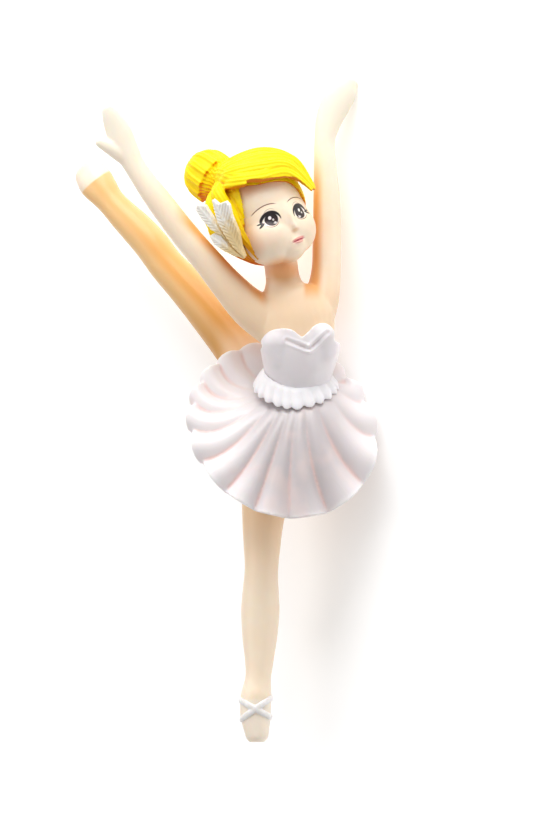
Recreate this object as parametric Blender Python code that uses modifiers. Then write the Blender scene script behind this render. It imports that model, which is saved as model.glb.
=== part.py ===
"""Ballerina figurine: a small moulded PVC dancer with both arms raised and one leg lifted behind.

The dancer is modelled upright in a pose frame: +X to the viewer's right, +Y away from the viewer, +Z up,
with the tip of the standing toe at the origin. It can't balance on that toe, so lay_down() at the end
turns the whole figure onto the flat facet of its outer hull that it rests on when laid on its back.
"""
import math

import bmesh
import bpy
from mathutils import Matrix, Vector

# Driving dimensions, in metres.
HEIGHT = 0.120          # tip of the standing toe to the fingertips of the higher hand
FIT_GAP = 0.0003        # between two mouldings that are glued face to face
SKIRT_WALL = 0.0012
PLEAT_DEPTH = 0.0024    # from the skirt's ridges to its deepest folds, at the hem
BODICE_COVER = 0.0011   # bodice surface above the chest that it is glued over
HAIR_COVER = 0.0008     # the hair's cap above the skull
LOCK_HEIGHT = 0.0010    # half the thickness of a lock of hair
RIBBON_RADIUS = 0.0006  # half the width of the crossed slipper ribbons
FEATHER_WALL = 0.0008

# The pose and the carving are shares of the height, written in millimetres of a 120 mm figure.
MM = HEIGHT / 120
VIEW_DEPTH = Vector((0, 1, 0))

# Pose tables: x, y, z of the centre line, then half the width seen from the front and half the depth.
TORSO = [
    (7.3, -0.8, 68.4, 5.2, 3.8), (7.5, -1.3, 70.0, 5.6, 4.1), (7.6, -1.9, 72.8, 6.4, 4.4),
    (6.9, -2.1, 75.8, 7.2, 4.4), (6.1, -1.7, 78.6, 6.6, 3.9), (5.1, -1.0, 81.0, 4.4, 3.3),
    (4.7, -0.8, 83.0, 3.2, 3.0), (4.3, -0.9, 86.0, 3.05, 3.0), (3.9, -1.2, 89.0, 3.2, 3.2),
]
BODICE = [
    (7.4, 1.8, 61.0, 4.0, 3.0), (7.6, 0.6, 64.4, 4.4, 3.4), (7.6, -0.8, 68.0, 5.5, 4.2),
    (7.7, -1.7, 71.6, 6.3, 4.6), (7.4, -1.9, 74.4, 6.8, 4.5), (7.0, -1.9, 77.0, 6.4, 4.2),
]
RAISED_RIGHT_ARM = [
    (4.2, -1.6, 74.8, 4.6, 3.6), (-1.0, -1.4, 77.9, 3.7, 3.3), (-5.0, -1.2, 81.9, 3.05, 2.9),
    (-8.8, -0.9, 86.4, 2.65, 2.6), (-12.8, -0.5, 91.1, 2.5, 2.45), (-17.8, 0.2, 97.6, 2.3, 2.2),
    (-21.6, 0.8, 103.0, 1.95, 1.8), (-23.4, 0.9, 106.4, 2.2, 1.6), (-24.9, 0.7, 109.8, 2.3, 1.3),
    (-26.3, 0.4, 112.6, 1.5, 1.0), (-27.0, 0.2, 114.0, 0.8, 0.7),
]
RIGHT_THUMB = [
    (-23.4, 0.8, 105.0, 1.5, 1.3), (-26.2, 0.3, 106.8, 1.3, 1.1), (-28.3, 0.0, 107.9, 0.9, 0.85),
]
RAISED_LEFT_ARM = [
    (9.6, -1.4, 76.0, 4.4, 3.6), (11.6, -0.4, 80.0, 3.3, 3.0), (12.4, 1.0, 84.4, 2.7, 2.7),
    (12.6, 2.4, 90.0, 2.6, 2.6), (12.6, 3.6, 96.7, 2.5, 2.45), (12.3, 4.6, 103.7, 2.1, 2.05),
    (12.2, 5.2, 108.2, 1.9, 1.75), (12.9, 5.6, 111.8, 2.4, 1.55), (14.2, 5.9, 114.9, 2.75, 1.35),
    (15.8, 6.2, 117.4, 2.3, 1.1), (17.2, 6.5, 119.2, 1.1, 0.8),
]
STANDING_LEG = [
    (4.2, 4.6, 60.4, 6.0, 5.4), (2.9, 2.9, 54.6, 5.5, 5.0), (1.9, 1.9, 48.0, 4.75, 4.5),
    (1.1, 1.2, 40.0, 3.8, 3.9), (0.9, 0.9, 34.6, 3.3, 3.5), (0.8, 0.8, 31.0, 3.05, 3.3),
    (0.65, 1.3, 27.0, 3.3, 3.5), (0.6, 1.7, 23.6, 3.5, 3.7), (0.5, 1.5, 19.0, 3.2, 3.3),
    (0.4, 1.1, 14.5, 2.6, 2.7), (0.2, 0.9, 11.4, 2.35, 2.5), (-0.1, 1.0, 8.8, 2.75, 3.1),
    (-0.3, 0.6, 6.2, 2.85, 2.8), (-0.2, 0.1, 3.9, 2.65, 2.2), (0.0, -0.1, 1.4, 2.2, 1.8),
]
LIFTED_LEG = [
    (3.6, 8.2, 61.0, 6.0, 5.6), (0.8, 12.0, 66.0, 5.6, 5.2), (-3.0, 15.6, 71.4, 5.0, 4.8),
    (-8.2, 19.0, 77.4, 4.3, 4.3), (-12.8, 21.4, 82.2, 3.6, 3.7), (-16.4, 23.0, 86.0, 3.25, 3.4),
    (-19.2, 24.4, 89.8, 3.2, 3.4), (-22.0, 25.8, 92.9, 3.05, 3.2), (-24.3, 26.9, 95.2, 2.8, 2.9),
    (-26.6, 28.1, 97.7, 2.4, 2.6), (-28.1, 29.0, 99.6, 2.55, 2.6), (-29.4, 30.0, 101.3, 2.9, 2.6),
    (-30.4, 31.0, 102.8, 2.8, 2.2),
]
PELVIS = [
    (7.0, 1.9, 61.4, 4.6, 3.6), (6.2, 3.6, 60.4, 5.6, 4.8), (4.6, 5.6, 60.0, 6.2, 5.6),
    (3.8, 7.2, 60.4, 5.2, 5.0),
]

# The head, turned to the viewer's right, raised, and leaning to the left.
HEAD_PLACE = Vector((0.1, -1.5, 97.0))
HEAD_TURN = math.radians(31)
HEAD_RAISE = math.radians(10)
HEAD_LEAN = math.radians(21)
# Balls in the head's own axes (face towards -Y): x, y, z, radius.
FACE_BALLS = [
    (0, 0, -0.9, 7.7), (0, -0.4, -4.2, 7.4), (0, -3.0, -9.4, 3.5),
    (2.1, -2.2, -7.0, 4.9), (-2.4, -2.2, -7.0, 5.1), (0, 2.2, -3.4, 6.2),
]
NOSE = [(0, -7.0, -6.4, 0.5, 0.5), (0, -7.8, -7.8, 0.6, 0.6), (0, -7.3, -8.4, 0.5, 0.4)]

# Hair, in the head's own axes. Locks run from the bun over the skull; each ends with its half width.
HAIR_MIDDLE = Vector((0, 0.4, -1.0))
NAPE = (0, 1.6, -4.0, 7.2)
BUN_PLACE = Vector((-8.0, 4.5, 101.9))
BUN_RADIUS = 4.5
LOCKS = [
    ((-6.3, -5.5, 4.2), (-2.3, -8.6, 2.4), (2.8, -8.9, 1.5), (6.5, -8.2, -3.0), 1.5),
    ((-5.5, -4.4, 6.0), (-1.0, -7.9, 4.6), (4.0, -8.6, 2.9), (7.6, -7.4, -2.8), 1.6),
    ((-4.8, -2.5, 7.1), (0.9, -6.5, 6.4), (6.2, -7.3, 3.8), (8.3, -6.4, -2.2), 1.6),
    ((-3.6, -0.4, 8.0), (2.3, -4.0, 7.9), (7.3, -5.0, 4.7), (8.8, -5.0, -1.2), 1.6),
    ((-2.4, 1.9, 7.8), (3.4, -0.2, 7.8), (7.8, -1.2, 4.4), (8.9, 0.0, -1.4), 1.6),
    ((-1.1, 4.4, 7.0), (4.5, 2.9, 6.5), (7.9, 2.1, 3.0), (8.2, 2.3, -4.3), 1.6),
    ((0.2, 6.5, 5.5), (5.2, 5.5, 4.0), (7.3, 4.8, -0.5), (6.3, 4.4, -6.7), 1.6),
    ((1.1, 8.0, 3.4), (4.4, 7.6, 0.6), (4.8, 6.9, -3.8), (3.4, 5.9, -8.0), 1.6),
    ((0.0, 8.9, 0.6), (1.3, 8.4, -2.9), (1.1, 7.6, -5.7), (0.4, 6.5, -8.4), 1.6),
    ((-7.8, -2.1, 4.4), (-8.3, -3.4, 0.0), (-8.0, -3.2, -5.2), (-6.1, -2.3, -10.5), 1.4),
    ((-8.4, 0.8, 3.2), (-8.9, -0.8, -1.3), (-8.2, -0.6, -6.1), (-6.1, -0.4, -9.9), 1.5),
    ((-8.4, 3.2, 1.3), (-8.6, 2.1, -2.9), (-7.6, 1.9, -6.3), (-5.5, 1.9, -9.2), 1.5),
    ((-7.1, 5.7, 0.0), (-6.9, 5.2, -3.8), (-5.7, 4.6, -6.5), (-4.0, 4.2, -8.8), 1.6),
    ((-4.4, 7.8, -0.4), (-3.6, 7.6, -4.0), (-2.9, 6.9, -6.3), (-1.9, 5.9, -8.6), 1.6),
]
# The opening for the face: x and z in the head's own axes, clear of everything nearer the viewer.
FACE_OPENING = [
    (-5.8, -16.0), (-6.4, -10.9), (-7.1, -7.6), (-6.9, -5.0), (-6.3, -1.0), (-5.3, 2.5), (-4.1, 2.5),
    (-2.6, 1.8), (0.1, 1.2), (3.2, 0.3), (5.0, -1.2), (6.6, -3.8), (7.9, -4.8), (8.0, -7.0), (7.2, -10.0),
    (6.6, -16.0),
]
FACE_OPENING_BACK = -1.6

# Hair ornament: outlines of its three feathers as the viewer sees them, x and z, base first.
FEATHERS = [
    [(-2.2, 87.1), (-4.1, 88.6), (-5.9, 91.1), (-7.1, 93.4), (-7.8, 95.8), (-8.0, 97.5), (-7.0, 96.6),
     (-5.7, 97.1), (-5.1, 96.4), (-4.7, 94.6), (-3.4, 91.6), (-2.9, 89.0)],
    [(-3.6, 88.6), (-6.3, 91.0), (-8.2, 92.0), (-9.8, 93.7), (-11.1, 95.8), (-10.7, 96.5), (-9.4, 96.4),
     (-8.7, 95.3), (-7.2, 92.9), (-5.6, 90.4)],
    [(-2.2, 86.9), (-3.9, 87.3), (-5.9, 88.2), (-7.8, 89.5), (-8.5, 91.0), (-7.9, 91.4), (-6.6, 91.0),
     (-4.9, 89.1), (-2.9, 87.5)],
]
FEATHER_FACING = Vector((-0.60, -0.72, -0.34)).normalized()
FEATHER_STANDOFF = 11.1  # from the head's centre to the feathers' plane

# The waist plane, where bodice, skirt and hips meet: its centre, and its axis up the torso.
WAIST_PLACE = Vector((7.3, 1.4, 62.2))
TORSO_AXIS = Vector((-0.149, -0.418, 0.896)).normalized()
WAIST_SIDE = Vector((0.986, 0, 0.164)).normalized()
WAIST_BACK = TORSO_AXIS.cross(WAIST_SIDE)

# The skirt's hem lies near a plane of its own, tipped up behind by the lifted leg.
HEM_PLACE = Vector((4.6, 0.0, 55.9))
HEM_SIDE = Vector((1, 0, 0))
HEM_BACK = Vector((0, 0.47, 0.883)).normalized()
HEM_RADII = (16.4, 17.4)
# Each fold's valley at the hem: degrees round from the viewer's right, and how deep it is.
FOLDS = [
    (25, 0.6), (46, 0.5), (66, 0.4), (84, 0.4), (101, 0.4), (116, 0.5), (131, 0.6), (146, 0.7), (160, 0.8),
    (177, 0.9), (200, 1.0), (228, 1.0), (252, 0.8), (274, 0.5), (297, 0.9), (326, 1.0), (358, 0.8),
]
FOLD_SWIRL = 0.50       # radians that a fold turns on its way from the waist to the hem
SKIRT_TOP_RADII = (5.6, 4.4)
SKIRT_DROOP = 1.5       # power of the fall from the waist plane: 1 is a plain cone
FRILL_PLEATS = 22
# Frill: height over the waist plane and the two radii, from inside the bodice round the outer edge.
FRILL_SECTION = [
    (3.5, 4.2, 3.2), (3.3, 5.7, 4.6), (2.3, 6.2, 5.4), (1.4, 6.9, 6.3), (0.6, 7.1, 6.6), (-0.2, 4.6, 3.5),
]
FRILL_EDGE = 6.3        # half width beyond which a ring of the frill is ruffled
FRILL_RISE = (2.2, 1.6)  # how much the frill rises to the viewer's left, and behind
BUST = [(4.1, 71.4), (11.3, 72.6)]
NECKLINE = [
    (-9.0, 70.4), (0.2, 70.6), (0.7, 72.2), (2.1, 73.8), (4.2, 74.4), (6.2, 74.2), (7.6, 73.2), (8.2, 72.9),
    (9.2, 73.8), (10.6, 75.1), (12.4, 75.3), (13.9, 74.0), (14.7, 71.8), (24.0, 71.2),
]


def new_object(name, mesh, collection):
    obj = bpy.data.objects.new(name, mesh)
    collection.objects.link(obj)
    return obj


def smooth_rows(rows, per_span):
    """A Catmull-Rom curve through rows of numbers, with per_span steps between two rows."""
    rows = [Vector(row) for row in rows]
    ends = [2 * rows[0] - rows[1], *rows, 2 * rows[-1] - rows[-2]]
    made = []
    for before, start, end, after in zip(ends, ends[1:], ends[2:], ends[3:]):
        for step in range(per_span):
            t = step / per_span
            made.append(0.5 * (2 * start + t * (end - before)
                               + t * t * (2 * before - 5 * start + 4 * end - after)
                               + t * t * t * (3 * start - before - 3 * end + after)))
    return made + [rows[-1]]


def add_ring(bm, centre, side, depth, half_width, half_depth, sides):
    return [
        bm.verts.new(centre + side * half_width * math.cos(a) + depth * half_depth * math.sin(a))
        for a in (2 * math.pi * i / sides for i in range(sides))
    ]


def bridge(bm, first, second):
    for i in range(len(first)):
        bm.faces.new((first[i - 1], first[i], second[i], second[i - 1]))


def add_limb(bm, rows, sides=16, per_span=2, scale=MM):
    """A closed round-ended limb lofted through rows of x, y, z, half width and half depth."""
    rows = smooth_rows(rows, per_span)
    rings = []
    tips = []
    for i, row in enumerate(rows):
        centre = row.xyz if len(row) == 3 else Vector(row[:3])
        nearby = Vector(rows[min(i + 1, len(rows) - 1)][:3]) - Vector(rows[max(i - 1, 0)][:3])
        along = nearby.normalized()
        side = VIEW_DEPTH.cross(along).normalized()
        depth = along.cross(side)
        half_width, half_depth = row[3], row[4]
        at_end = -1 if i == 0 else 1 if i == len(rows) - 1 else 0
        dome = []
        if at_end:
            reach = min(half_width, half_depth)
            for angle in (math.radians(35), math.radians(65)):
                dome.append((centre + along * at_end * reach * math.sin(angle), math.cos(angle)))
            tips.append((centre + along * at_end * reach) * scale)
        steps = [(centre, 1.0), *dome]
        for place, share in steps[::-1] if at_end < 0 else steps:
            rings.append(add_ring(bm, place * scale, side, depth,
                                  half_width * share * scale, half_depth * share * scale, sides))
    for first, second in zip(rings, rings[1:]):
        bridge(bm, first, second)
    for ring, tip in ((rings[0], tips[0]), (rings[-1][::-1], tips[1])):
        pole = bm.verts.new(tip)
        for i in range(sides):
            bm.faces.new((ring[i], ring[i - 1], pole))


def add_ball(bm, place, radius, segments=24):
    bmesh.ops.create_uvsphere(bm, u_segments=segments, v_segments=segments // 2, radius=radius,
                              matrix=Matrix.Translation(place))


def head_matrix():
    """From the head's own axes, in the same millimetres, to the pose frame in metres."""
    turn = (Matrix.Rotation(-HEAD_LEAN, 4, "Y") @ Matrix.Rotation(HEAD_TURN, 4, "Z")
            @ Matrix.Rotation(-HEAD_RAISE, 4, "X"))
    return Matrix.Scale(MM, 4) @ Matrix.Translation(HEAD_PLACE) @ turn


def mesh_of(bm, name):
    bmesh.ops.recalc_face_normals(bm, faces=bm.faces)
    mesh = bpy.data.meshes.new(name)
    bm.to_mesh(mesh)
    bm.free()
    return mesh


def melt(obj, voxel, rounds, triangles):
    """Fuses the overlapping closed shapes in obj's mesh into one soft skin of about that many triangles."""
    remesh = obj.modifiers.new("fuse", "REMESH")
    remesh.mode = "VOXEL"
    remesh.voxel_size = voxel * MM
    soften = obj.modifiers.new("soften", "SMOOTH")
    soften.factor = 0.5
    soften.iterations = rounds
    evaluated = obj.evaluated_get(bpy.context.evaluated_depsgraph_get())
    fine = len(evaluated.data.polygons) * 2
    thin = obj.modifiers.new("thin", "DECIMATE")
    thin.ratio = min(1.0, triangles / fine)


def cut(obj, cutter, name="cut"):
    boolean = obj.modifiers.new(name, "BOOLEAN")
    boolean.operation = "DIFFERENCE"
    boolean.solver = "EXACT"
    boolean.object = cutter


def join(obj, other):
    boolean = obj.modifiers.new("join_" + other.name, "BOOLEAN")
    boolean.operation = "UNION"
    boolean.solver = "EXACT"
    boolean.object = other


def hide(obj):
    obj.hide_render = True
    obj.display_type = "WIRE"
    return obj


def swollen(obj, gap, cutters, voxel=0):
    """A cutter with obj's final shape, grown by gap all over, and remade in voxels if its folds cross."""
    bpy.context.view_layer.update()
    evaluated = obj.evaluated_get(bpy.context.evaluated_depsgraph_get())
    copy = hide(new_object(obj.name + "_room", bpy.data.meshes.new_from_object(evaluated), cutters))
    grow = copy.modifiers.new("grow", "DISPLACE")
    grow.strength = gap
    grow.mid_level = 0
    if voxel:
        remesh = copy.modifiers.new("clean", "REMESH")
        remesh.mode = "VOXEL"
        remesh.voxel_size = voxel * MM
    return copy


def finish(obj, name, colour, roughness):
    """Gives obj its own painted-PVC material."""
    made = bpy.data.materials.new(name)
    made.use_nodes = True
    shader = made.node_tree.nodes["Principled BSDF"]
    shader.inputs["Base Color"].default_value = (*colour, 1)
    shader.inputs["Roughness"].default_value = roughness
    shader.inputs["Metallic"].default_value = 0
    obj.data.materials.clear()
    obj.data.materials.append(made)
    obj.data.shade_smooth()
    return obj


# Upper body: head, neck, chest and both arms, one flesh-coloured moulding with a plug in the bodice.
def make_upper_body(parts):
    bm = bmesh.new()
    for x, y, z, radius in FACE_BALLS:
        add_ball(bm, (x, y, z), radius)
    add_limb(bm, NOSE, sides=8, scale=1)
    bm.transform(head_matrix())
    for rows in (TORSO, RAISED_RIGHT_ARM, RIGHT_THUMB, RAISED_LEFT_ARM):
        add_limb(bm, rows)
    body = new_object("upper_body", mesh_of(bm, "upper_body"), parts)
    melt(body, voxel=0.45, rounds=4, triangles=1600)
    return body


# Skirt: a pleated tutu, closed across the waist and open below.
def fold_at(share):
    """At a share of the way round the hem: its angle, and 0 in a valley to 1 on a ridge of the folds."""
    number, t = divmod(share * len(FOLDS), 1)
    start, depth = FOLDS[int(number) % len(FOLDS)]
    end, next_depth = FOLDS[(int(number) + 1) % len(FOLDS)]
    bump = math.sin(math.pi * t) ** 1.4
    return math.radians(start + (end - start) % 360 * t), 1 - (1 - bump) * (depth + (next_depth - depth) * t)


def skirt_point(share, reach, pleated=True):
    """A point of the skirt's outer face: reach is 0 at the waist and 1 at the hem, in millimetres."""
    angle, wave = fold_at(share)
    if not pleated:
        wave = 0.7
    swell = 1 + (0.9 * (wave - 0.5) - 1.1 * math.sin(2 * angle)) / HEM_RADII[0]
    turned = angle - FOLD_SWIRL * math.cos(angle) * (1 - reach ** 2)
    top = (WAIST_PLACE + WAIST_SIDE * SKIRT_TOP_RADII[0] * math.cos(turned)
           + WAIST_BACK * SKIRT_TOP_RADII[1] * math.sin(turned))
    hem = (HEM_PLACE + HEM_SIDE * math.cos(turned) * HEM_RADII[0] * swell
           + HEM_BACK * math.sin(turned) * HEM_RADII[1] * swell)
    fall = (hem - top).dot(TORSO_AXIS)
    spread = hem - top - TORSO_AXIS * fall
    flat = top + spread * reach + TORSO_AXIS * fall * reach ** SKIRT_DROOP
    return flat + HEM_SIDE.cross(HEM_BACK) * PLEAT_DEPTH / MM * (wave - 0.7) * reach ** 1.3


def skirt_outward(share, reach):
    """The direction out of the skirt there, as if it had no folds."""
    across = skirt_point(share + 0.01, reach, False) - skirt_point(share - 0.01, reach, False)
    down = skirt_point(share, reach + 0.04, False) - skirt_point(share, reach, False)
    out = across.cross(down).normalized()
    if out.dot(TORSO_AXIS) < 0:
        out = -out
    return (out + TORSO_AXIS).normalized() if reach == 0 else out


def skirt_sheet(bm, overrun=1.0, move=0.0):
    """The skirt's outer face moved out by so many millimetres, closed across the waist. Returns its hem."""
    around = len(FOLDS) * 4
    down = 6
    rings = []
    for step in range(down + 1):
        reach = overrun * step / down
        places = [skirt_point(i / around, reach) + skirt_outward(i / around, reach) * move
                  for i in range(around)]
        rings.append([bm.verts.new(place * MM) for place in places])
    for first, second in zip(rings, rings[1:]):
        bridge(bm, second, first)
    centre = bm.verts.new((WAIST_PLACE + TORSO_AXIS * move) * MM)
    for i in range(around):
        bm.faces.new((rings[0][i - 1], rings[0][i], centre))
    return rings[-1]


def make_skirt(parts):
    bm = bmesh.new()
    outer = skirt_sheet(bm)
    inner = skirt_sheet(bm, move=-SKIRT_WALL / MM)
    bridge(bm, outer, inner)
    return new_object("skirt", mesh_of(bm, "skirt"), parts)


def skirt_room(name, near, far, cutters):
    """A cutter from the skirt's outer face moved out by near, to as far along the body again."""
    bm = bmesh.new()
    hem = skirt_sheet(bm, 1.04, near / MM)
    sheet = list(bm.verts)
    faces = list(bm.faces)
    moved = {v: bm.verts.new(v.co + TORSO_AXIS * far) for v in sheet}
    for face in faces:
        bm.faces.new([moved[v] for v in face.verts])
    bridge(bm, hem, [moved[v] for v in hem])
    return hide(new_object(name, mesh_of(bm, name), cutters))


# Legs: the hips and both legs with their slippers, one moulding below the skirt.
def add_ribbon(bm, height, rise):
    """A round band about the standing foot, tilted by rise from side to side."""
    foot = smooth_rows(STANDING_LEG, 8)
    places = []
    for step in range(18):
        angle = 2 * math.pi * step / 18
        level = height + rise * math.cos(angle)
        x, y, z, w, d = min(foot, key=lambda row: abs(row[2] - level))
        places.append(Vector((x + (w - 0.1) * math.cos(angle), y + (d - 0.1) * math.sin(angle), level)))
    rings = []
    for i, place in enumerate(places):
        along = (places[(i + 1) % len(places)] - places[i - 1]).normalized()
        out = along.cross(Vector((0, 0, 1))).normalized()
        rings.append(add_ring(bm, place * MM, out, along.cross(out), RIBBON_RADIUS * 0.8, RIBBON_RADIUS, 5))
    for i in range(len(rings)):
        bridge(bm, rings[i - 1], rings[i])


def make_legs(parts, cutters):
    bm = bmesh.new()
    for rows in (PELVIS, STANDING_LEG, LIFTED_LEG):
        add_limb(bm, rows)
    legs = new_object("legs", mesh_of(bm, "legs"), parts)
    melt(legs, voxel=0.45, rounds=4, triangles=1050)
    for name, rise in (("ribbon_up", -1.5), ("ribbon_down", 1.9)):
        bm = bmesh.new()
        add_ribbon(bm, 6.0, rise)
        join(legs, hide(new_object(name, mesh_of(bm, name), cutters)))
    cut(legs, skirt_room("over_hips", -(SKIRT_WALL + FIT_GAP), 15 * MM, cutters))
    bm = bmesh.new()
    size = 10 * MM
    bmesh.ops.create_cube(bm, size=size, matrix=Matrix.Translation((0, 0, -size / 2)))
    cut(legs, hide(new_object("under_toe", mesh_of(bm, "under_toe"), cutters)), "cut_toe")
    return legs


# Bodice: the white top with its sweetheart neckline, and the gathered frill at the waist.
def make_frill(cutters):
    around = FRILL_PLEATS * 3
    bm = bmesh.new()
    rings = []
    for height, half_width, half_depth in FRILL_SECTION:
        ring = []
        for i in range(around):
            angle = 2 * math.pi * i / around
            wave = math.sin(FRILL_PLEATS * angle) * (0.32 if half_width > FRILL_EDGE else 0.1)
            rise = (FRILL_RISE[0] * max(0.0, -math.cos(angle)) ** 1.5
                    + FRILL_RISE[1] * max(0.0, math.sin(angle)) ** 2)
            ring.append(bm.verts.new((WAIST_PLACE + WAIST_SIDE * (half_width + wave) * math.cos(angle)
                                      + WAIST_BACK * (half_depth + wave) * math.sin(angle)
                                      + TORSO_AXIS * (height + rise - 0.5 * wave)) * MM))
        rings.append(ring)
    for i in range(len(rings)):
        bridge(bm, rings[i - 1], rings[i])
    return hide(new_object("frill", mesh_of(bm, "frill"), cutters))


def make_bodice(parts, cutters):
    cover = BODICE_COVER / MM
    bm = bmesh.new()
    add_limb(bm, [(x, y, z, w + cover, d + cover) for x, y, z, w, d in BODICE], sides=24)
    for x, z in BUST:
        add_limb(bm, [(x + 0.3, -3.6, z - 2.2, 3.0, 2.6), (x, -4.0, z + 0.8, 3.6, 3.4)], per_span=1)
    bodice = new_object("bodice", mesh_of(bm, "bodice"), parts)
    melt(bodice, voxel=0.45, rounds=6, triangles=500)
    bm = bmesh.new()
    outline = [*NECKLINE, (24.0, 90.0), (-9.0, 90.0)]
    near = bm.faces.new([bm.verts.new((x * MM, -20 * MM, z * MM)) for x, z in outline])
    made = bmesh.ops.extrude_face_region(bm, geom=[near])["geom"]
    bmesh.ops.translate(bm, verts=[v for v in made if isinstance(v, bmesh.types.BMVert)],
                        vec=(0, 40 * MM, 0))
    cut(bodice, hide(new_object("over_neckline", mesh_of(bm, "over_neckline"), cutters)))
    join(bodice, make_frill(cutters))
    cut(bodice, skirt_room("under_bodice", FIT_GAP, -15 * MM, cutters))
    return bodice


# Hair: an up-do of broad locks drawn back into a bun, moulded as one cap over the skull.
def add_lock(bm, middle, places, half_width, thickness, sides=8, steps=4):
    """A lens-shaped lock over a ball about middle, in the head's own axes, tapering to its end."""
    rows = smooth_rows(places, steps)
    rings = []
    for i, place in enumerate(rows):
        along = (rows[min(i + 1, len(rows) - 1)] - rows[max(i - 1, 0)]).normalized()
        out = (place - middle).normalized()
        side = along.cross(out).normalized()
        share = 1 - 0.6 * (i / (len(rows) - 1)) ** 3
        rings.append(add_ring(bm, place, side, out, half_width * share, thickness * share, sides))
    for first, second in zip(rings, rings[1:]):
        bridge(bm, first, second)
    bm.faces.new(rings[0])
    bm.faces.new(rings[-1])


def make_hair(parts, cutters, upper_body):
    to_pose = head_matrix()
    bun = to_pose.inverted() @ (BUN_PLACE * MM)
    cap = FACE_BALLS[0][3] + HAIR_COVER / MM
    thickness = LOCK_HEIGHT / MM
    lying = cap + 0.3 * thickness
    bm = bmesh.new()
    add_ball(bm, HAIR_MIDDLE, cap)
    add_ball(bm, NAPE[:3], NAPE[3])
    add_ball(bm, bun, BUN_RADIUS)
    spin = (bun - HAIR_MIDDLE).normalized()
    for *places, half_width in LOCKS:
        over_skull = [HAIR_MIDDLE + spin * lying]
        for place in places:
            away = Vector(place) - HAIR_MIDDLE
            over_skull.append(HAIR_MIDDLE + away.normalized() * max(lying, away.length))
        add_lock(bm, HAIR_MIDDLE, over_skull, half_width, thickness)
    across = spin.cross(Vector((0, 0, 1))).normalized()
    for i in range(6):
        tilt = Matrix.Rotation(math.pi * i / 6, 3, spin) @ across
        places = [bun + (Matrix.Rotation(math.radians(a), 3, tilt) @ spin) * BUN_RADIUS
                  for a in (-105, -60, -20, 20, 60, 105)]
        add_lock(bm, bun, places, 1.0, 0.75 * thickness)
    bm.transform(to_pose)
    hair = new_object("hair", mesh_of(bm, "hair"), parts)
    melt(hair, voxel=0.4, rounds=2, triangles=1150)
    bm = bmesh.new()
    near = bm.faces.new([bm.verts.new((x, -20, z)) for x, z in FACE_OPENING])
    made = bmesh.ops.extrude_face_region(bm, geom=[near])["geom"]
    bmesh.ops.translate(bm, verts=[v for v in made if isinstance(v, bmesh.types.BMVert)],
                        vec=(0, FACE_OPENING_BACK + 20, 0))
    bm.transform(to_pose)
    cut(hair, hide(new_object("face_opening", mesh_of(bm, "face_opening"), cutters)))
    cut(hair, swollen(upper_body, FIT_GAP, cutters), "cut_head")
    return hair


# Hair ornament: a spray of three stiff feathers glued to the side of the hair.
def on_feather_plane(x, z, standoff):
    """The point of the feathers' plane that the viewer sees at x, z."""
    y = (standoff - (x - HEAD_PLACE.x) * FEATHER_FACING.x - (z - HEAD_PLACE.z) * FEATHER_FACING.z)
    return Vector((x, HEAD_PLACE.y + y / FEATHER_FACING.y, z))


def make_hair_ornament(parts, cutters, hair):
    bm = bmesh.new()
    for x, z, radius in ((-3.4, 88.2, 1.2), (-5.2, 90.2, 1.0)):
        add_ball(bm, on_feather_plane(x, z, FEATHER_STANDOFF - 0.6) * MM, radius * MM, 16)
    for layer, outline in enumerate(FEATHERS):
        near = bm.faces.new([bm.verts.new(on_feather_plane(x, z, FEATHER_STANDOFF - 0.2 * layer) * MM)
                             for x, z in outline])
        made = bmesh.ops.extrude_face_region(bm, geom=[near])["geom"]
        bmesh.ops.translate(bm, verts=[v for v in made if isinstance(v, bmesh.types.BMVert)],
                            vec=FEATHER_FACING * -FEATHER_WALL * 1.6)
    ornament = new_object("hair_ornament", mesh_of(bm, "hair_ornament"), parts)
    melt(ornament, voxel=0.2, rounds=2, triangles=240)
    cut(ornament, swollen(hair, 1.8 * FIT_GAP, cutters, voxel=0.9))
    return ornament


def lay_down(nodes, root):
    """Turns the figure so that it lies on the steadiest hull facet behind it, centred on the origin."""
    bpy.context.view_layer.update()
    graph = bpy.context.evaluated_depsgraph_get()
    points, volume, moment = [], 0.0, Vector()
    for obj in nodes:
        evaluated = obj.evaluated_get(graph)
        mesh = evaluated.to_mesh()
        mesh.calc_loop_triangles()
        places = [evaluated.matrix_world @ v.co for v in mesh.vertices]
        points += places
        for triangle in mesh.loop_triangles:
            a, b, c = (places[i] for i in triangle.vertices)
            share = a.dot(b.cross(c)) / 6
            volume += share
            moment += share * (a + b + c) / 4
        evaluated.to_mesh_clear()
    balance = moment / volume
    bm = bmesh.new()
    for place in points:
        bm.verts.new(place)
    hull = bmesh.ops.convex_hull(bm, input=bm.verts)["geom"]
    best, down = -1.0, None
    for face in (f for f in hull if isinstance(f, bmesh.types.BMFace)):
        normal = face.normal
        if normal.dot(balance - face.verts[0].co) > 0:
            normal = -normal
        if normal.dot(VIEW_DEPTH) < math.cos(math.radians(55)):
            continue
        corners = [v.co for v in face.verts]
        foot = balance - normal * (balance - corners[0]).dot(normal)
        middle = sum(corners, Vector()) / len(corners)
        margin = math.inf
        for i in range(len(corners)):
            edge = (corners[i] - corners[i - 1]).normalized()
            inward = normal.cross(edge)
            if inward.dot(middle - corners[i]) < 0:
                inward = -inward
            margin = min(margin, inward.dot(foot - corners[i]))
        if margin > best:
            best, down = margin, normal.copy()
    bm.free()
    up = -down
    ahead = (Vector((0, 0, 1)) - up * up.z).normalized()
    turn = Matrix((ahead.cross(up), ahead, up))
    laid = [turn @ place for place in points]
    low = Vector([min(p[k] for p in laid) for k in range(3)])
    high = Vector([max(p[k] for p in laid) for k in range(3)])
    shift = Vector((-(low.x + high.x) / 2, -(low.y + high.y) / 2, -low.z))
    root.matrix_world = Matrix.Translation(shift) @ turn.to_4x4()


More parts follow.
